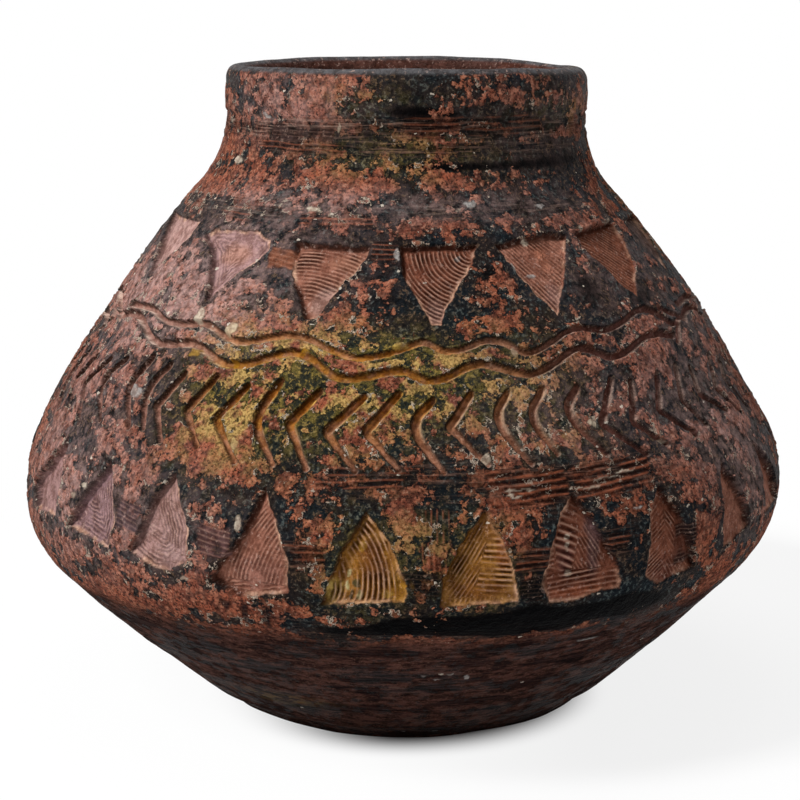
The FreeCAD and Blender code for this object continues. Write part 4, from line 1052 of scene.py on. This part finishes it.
def clay_material():
    """Red granular crust over dark slip, with ochre, pink dust and painted sheen, comb marks and
    grit, and painted highlights and shade on its small relief.
    """
    g = Graph(bpy.data.materials.new("fired_clay_skin"))
    crust_f, slip_f, ochre_f, dust_and_sheen_f, streak_f, grit_f, under_f, comb_f, combing_f = (
        g.node("ShaderNodeAttribute", attribute_name=name).outputs["Fac"] for name in (
            "crust", "slip", "ochre", "dust_and_sheen", "streak", "grit", "under", "comb", "combing"))
    paint_node = g.node("ShaderNodeAttribute", attribute_name="paint")
    paint_rgb, paint_a = paint_node.outputs["Color"], paint_node.outputs["Alpha"]

    # where the crust lies
    lump = g.noise(4.5, 4, 0.62, (3, 1, 2))
    fine = g.noise(1.5, 3, 0.65, (7, 7, 1))
    rag = g.add(g.times(lump, 0.9), g.times(fine, 0.5))
    crust_at = g.add(crust_f, g.math("SUBTRACT", rag, 0.70))
    crust_mask = g.step(crust_at, -0.025, 0.03)
    tone = g.noise(15, 3, 0.6, (1, 8, 3))

    # red crust: dusty patches and painted sheen, painted highlights on the lumps, painted glints
    # on the pale grains, dark gaps, gold
    red = g.over(g.mix(dust_and_sheen_f, (138, 74, 52), (152, 100, 86)),
                 g.mix(dust_and_sheen_f, (97, 51, 39), (116, 78, 69)), tone, 0.35, 0.65)
    red = g.over(red, g.mix(dust_and_sheen_f, (164, 104, 78), (190, 152, 142)), lump, 0.44, 0.66, 0.65)
    red = g.over(red, (204, 164, 138), fine, 0.57, 0.66, 0.32)
    lobe = g.add(g.cells(3.1, (0.2, 0.5, 0.3))["Distance"], g.times(fine, 0.5))
    red = g.over(red, (44, 27, 23), lobe, 0.72, 0.95, 0.6)
    red = g.over(red, (36, 22, 19), fine, 0.48, 0.38, 0.95)
    gold_at = g.step(g.noise(15, 4, 0.62, (6, 1, 5)), 0.42, 0.56, 0.0, 0.85)
    red = g.mix(g.times(g.times(ochre_f, gold_at), 0.9), red,
                g.over((120, 98, 54), (190, 160, 94), fine, 0.4, 0.6))

    # dark slip: cool and warm patches, olive, slate glints painted on the raised beads, painted
    # black shade in the hollows and along the crust's edges
    dark = g.over((19, 26, 31), (31, 26, 25), g.noise(22, 3, 0.6, (4, 4, 9)), 0.42, 0.58)
    dark = g.mix(g.times(ochre_f, 0.6), dark, (46, 50, 38))
    olive_at = g.step(g.noise(6, 4, 0.7, (9, 2, 3)), 0.46, 0.60, 0.0, 0.85)
    dark = g.mix(g.times(ochre_f, olive_at), dark, (106, 92, 44))
    bead = g.noise(2.2, 3, 0.7, (1, 5, 5))
    glint = g.over((98, 108, 106), (124, 98, 76), tone, 0.42, 0.58)
    glint = g.mix(g.times(ochre_f, 0.85), glint, (150, 124, 58))
    dark = g.mix(g.times(g.step(bead, 0.53, 0.62), g.step(ochre_f, 0, 1, 0.45, 0.75)), dark,
                 glint)
    dark = g.over(dark, (8, 8, 9), bead, 0.45, 0.34, 0.8)
    # painted shade along the crust's edges
    dark = g.over(dark, (12, 11, 12), crust_at, -0.12, -0.03, 0.6)
    dark = g.over(dark, (4, 4, 5), slip_f, 0.7, 1.1, 0.9)
    skin = g.mix(crust_mask, dark, red)
    # a pale pink veil: pale dust, and a painted sheen
    dust_and_sheen_veil = g.times(dust_and_sheen_f, g.step(g.noise(6, 4, 0.7, (8, 5, 5)), 0.35, 0.7))
    skin = g.mix(g.times(dust_and_sheen_veil, 0.6), skin, (176, 144, 138))

    # level tool marks with painted highlights on their raised lines and painted shade between
    # them, and the scraped underside, its colours darkened as painted shade
    lines = g.noise(26, 4, 0.65, (2, 2, 2), (1, 1, 20))
    drawn = g.over((12, 10, 11), g.mix(dust_and_sheen_f, (140, 104, 88), (178, 158, 146)), lines, 0.49,
                   0.61)
    patchy = g.step(g.noise(20, 4, 0.6, scale=(1, 1, 4)), 0.35, 0.6, 0.15, 0.85)
    skin = g.mix(g.times(streak_f, patchy), skin, drawn)
    # the underside's colours: scraped streaks, kept dark as painted shade under the belly
    smear = g.noise(9, 6, 0.72, (5, 2, 8), (1, 1, 2.6))
    shade = g.over((24, 16, 15), (90, 60, 52), smear, 0.40, 0.60)
    shade = g.over(shade, (116, 84, 74), fine, 0.55, 0.68, 0.6)
    below = g.over(shade, g.over((9, 8, 9), (44, 32, 32), lines, 0.44, 0.57),
                   g.noise(34, 5, 0.65, scale=(1, 1, 4)), 0.47, 0.58)
    below = g.mix(g.times(ochre_f, g.step(smear, 0.45, 0.6)), below, (112, 90, 42))
    skin = g.mix(g.times(under_f, 0.9), skin, below)
    # near black where the slip is thickest and bare of crust: dark slip, and under the belly
    # painted shade too
    black_at = g.times(g.step(slip_f, 0.85, 1.2, 0.0, 0.9), g.step(crust_mask, 1, 0))
    skin = g.mix(black_at, skin, (2, 2, 3))

    # floors of the cuts
    floor = g.over(paint_rgb, g.mix(1.0, paint_rgb, (140, 112, 100), "MULTIPLY"),
                   g.noise(6, 4, 0.7, (1, 1, 7)), 0.38, 0.62, 0.65)
    floor = g.over(floor, (206, 172, 158), g.noise(2.6, 3, 0.7, (3, 3, 7)), 0.56, 0.7, 0.4)
    wash_at = g.times(ochre_f, g.step(g.noise(7, 3, 0.6, (2, 6, 2)), 0.35, 0.55, 0.45, 1.0))
    floor = g.mix(g.times(wash_at, 0.9), floor, g.mix(1.0, floor, (244, 216, 92), "MULTIPLY"))
    skin = g.mix(paint_a, skin, floor)

    # comb marks: painted shade in the valleys and painted highlights on the ridges
    turn = g.times(comb_f, 2 * math.pi / COMB_PITCH)
    ridge = g.add(g.times(g.math("COSINE", turn), -0.5), 0.5)
    skin = g.mix(g.times(combing_f, g.step(ridge, 0.6, 0.1, 0.0, 0.65)), skin,
                 g.mix(1.0, skin, (84, 58, 52), "MULTIPLY"))
    skin = g.mix(g.times(combing_f, g.step(ridge, 0.6, 1.0, 0.0, 0.4)), skin,
                 g.over((196, 112, 80), (200, 160, 138), paint_a, 0.4, 0.9))

    # pale chips and painted glints at the crust's edges, and grit
    rim = g.math("ABSOLUTE", g.math("SUBTRACT", crust_at, 0.01))
    edge_chip_and_glint_at = g.add(g.noise(8, 3, 0.6, (4, 7, 1)), g.times(grit_f, 0.13))
    edge_chip_and_glint = g.times(g.step(rim, 0.045, 0.02), g.step(edge_chip_and_glint_at, 0.585, 0.62))
    edge_chip_and_glint = g.times(edge_chip_and_glint, g.math("SUBTRACT", 1.0, g.math("MAXIMUM", paint_a, under_f)))
    skin = g.mix(g.times(edge_chip_and_glint, 0.8), skin, (212, 196, 176))
    flake = g.cells(4.5, (0.4, 0.2, 0.1), (1, 1, 1.5))
    chance = g.node("ShaderNodeSeparateColor", {"Color": flake["Color"]}).outputs
    pick = g.math("LESS_THAN", chance[0], g.add(g.times(grit_f, 0.08), 0.006))
    size = g.add(g.times(chance[1], 0.18), g.times(g.step(fine, 0.3, 0.7), 0.24))
    speck = g.times(pick, g.math("LESS_THAN", flake["Distance"], size))
    skin = g.mix(g.times(speck, 0.85), skin, (208, 196, 180))

    # fine relief, in metres
    height = g.times(crust_mask, 0.0008)
    for part in (g.times(g.times(lump, 0.0017), g.step(paint_a, 0.0, 1.0, 1.0, 0.3)),
                 g.times(fine, 0.0016), g.times(g.times(lobe, crust_mask), -0.0005),
                 g.times(g.times(bead, g.math("SUBTRACT", 1.0, crust_mask)), 0.0022),
                 g.times(g.times(ridge, combing_f), 0.0009),
                 g.times(g.times(lines, g.math("MAXIMUM", streak_f, under_f)), 0.0075),
                 g.times(g.math("MAXIMUM", speck, edge_chip_and_glint), 0.0004)):
        height = g.add(height, part)
    bump = g.node("ShaderNodeBump", {"Strength": 1.0, "Distance": 1.0, "Height": height})
    shader = g.node("ShaderNodeBsdfPrincipled", {
        "Base Color": skin, "Roughness": g.step(crust_mask, 0.0, 1.0, 0.5, 0.85),
        "Normal": bump.outputs[0], "Specular IOR Level": 0.015})
    g.node("ShaderNodeOutputMaterial", {"Surface": shader.outputs[0]})
    return g.owner


CLAY_SKIN = clay_material()


def finish_piece(piece, node):
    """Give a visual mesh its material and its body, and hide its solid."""
    piece.data.materials.append(CLAY_SKIN)
    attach(piece, "root")
    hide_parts(node)


for name in COURSES:
    rows = list(dict.fromkeys(
        row for first, last in SPANS[name] for row in range(first, last + 1)))
    piece = ring_mesh(name + "_skin", surface[rows], normals[rows],
                      {key: field[rows] for key, field in fields.items()}, paint_full[rows])
    finish_piece(piece, name)


def slab_piece():
    """The floor slab, with a worn edge to its drain hole."""
    cone = (SLAB_TOP_R - SLAB_LOW_R) / FLOOR_Z
    low_r = SLAB_LOW_R + cone * RECESS_Z
    steps = np.linspace(0, 1, SLAB_STEPS)
    low = [(low_r + (DRAIN_R + 1 - low_r) * t, RECESS_Z) for t in steps]
    hole = [(DRAIN_R, z) for z in (RECESS_Z + 1, (RECESS_Z + FLOOR_Z) / 2, FLOOR_Z - 1)]
    top = [(DRAIN_R + 1 + (SLAB_TOP_R - DRAIN_R - 1) * t, FLOOR_Z) for t in steps]
    section = np.array(low + hole + top)
    phi = np.arange(SLAB_COLUMNS) / SLAB_COLUMNS * 2 * math.pi
    points = around(section[:, :1], phi, section[:, 1:])
    wobble = 0.5 * noise(points, 18.0, 81) * smooth(section[:, :1], SLAB_TOP_R, SLAB_TOP_R - 9)
    away = np.repeat([-1.0, 0.0, 1.0], [len(low), len(hole), len(top)])
    points[..., 2] += away[:, None] * wobble * 0.6
    shape = points.shape[:2]
    return ring_mesh("base_slab_skin", points[::-1], -grid_normals(points)[::-1],
                     {key: np.zeros(shape) for key in fields},
                     np.broadcast_to(INTERIOR, shape + (4,)))


finish_piece(slab_piece(), "base_slab")


# The studio

def camera():
    data = bpy.data.cameras.new("camera")
    data.sensor_width = SENSOR
    data.lens = FOCAL_PX / PHOTO_PX * SENSOR
    data.clip_start, data.clip_end = 0.05, 50
    made = place_object("camera", data)
    made.location = (0, -CAMERA_BACK * MM, CAMERA_Z * MM)
    turn = math.atan((AXIS_PX - PHOTO_PX / 2) / FOCAL_PX)
    made.rotation_euler = (math.pi / 2 - CAMERA_PITCH, 0, turn)
    bpy.context.scene.camera = made


def area_light(name, place, side, power):
    """A square light that aims at the pot."""
    data = bpy.data.lights.new(name, "AREA")
    data.shape = "RECTANGLE"
    data.size = data.size_y = side
    data.energy = power
    made = place_object(name, data)
    made.location = place
    made.rotation_euler = (Vector(AIM) - Vector(place)).to_track_quat("-Z", "Y").to_euler()


def world():
    """Even light from all round, behind a white background."""
    g = Graph(bpy.data.worlds.new("studio"))
    around, behind = (g.node("ShaderNodeBackground", {0: WHITE, 1: strength}).outputs[0]
                      for strength in (AMBIENT, 1.0))
    mix = g.node("ShaderNodeMixShader", {0: g.seen(), 1: around, 2: behind})
    g.node("ShaderNodeOutputWorld", {0: mix.outputs[0]})
    bpy.context.scene.world = g.owner


def floor():
    """A white floor that fades into the white background away from the pot."""
    mesh = bpy.data.meshes.new("floor")
    corners = [(x * FLOOR_HALF, y * FLOOR_HALF, 0) for x, y in
               ((-1, -1), (1, -1), (1, 1), (-1, 1))]
    mesh.from_pydata(corners, [], [(0, 1, 2, 3)])
    made = place_object("floor", mesh)
    g = Graph(bpy.data.materials.new("white_floor"))
    spot = g.node("ShaderNodeTexCoord").outputs["Object"]
    reach = g.node("ShaderNodeVectorMath", {0: spot}, operation="LENGTH").outputs["Value"]
    apart = g.node("ShaderNodeVectorMath", {0: spot, 1: SHADOW_CENTRE},
                   operation="DISTANCE").outputs["Value"]
    across = g.node("ShaderNodeSeparateXYZ", {0: spot}).outputs["X"]
    away = g.times(g.math("POWER", g.step(apart, *SHADOW_FADE, 1.0, 0.0), 1.4),
                   g.step(across, -0.11, 0.0, 0.1, 1.0))
    near = g.times(g.math("SUBTRACT", 1.0, away), g.step(across, -0.05, 0.12, 0.97, 0.84))
    fade = g.math("MAXIMUM", near, g.step(reach, 0.15, 0.5))
    matt = g.node("ShaderNodeBsdfDiffuse", {"Color": (0.93, 0.93, 0.93, 1)})
    glow = g.node("ShaderNodeEmission", {"Color": WHITE, "Strength": 1.0})
    mix = g.node("ShaderNodeMixShader", {0: g.times(fade, g.seen()), 1: matt.outputs[0],
                                         2: glow.outputs[0]})
    g.node("ShaderNodeOutputMaterial", {"Surface": mix.outputs[0]})
    mesh.materials.append(g.owner)
    made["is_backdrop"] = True


camera()
world()
floor()
area_light("key", (-1.4, -1.1, 2.1), 0.6, 68)
area_light("fill", (1.6, -1.6, 1.3), 1.2, 7)
area_light("top", (-0.2, 0.2, 2.2), 1.6, 16)
bpy.context.scene.view_settings.view_transform = "Standard"

low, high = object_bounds()
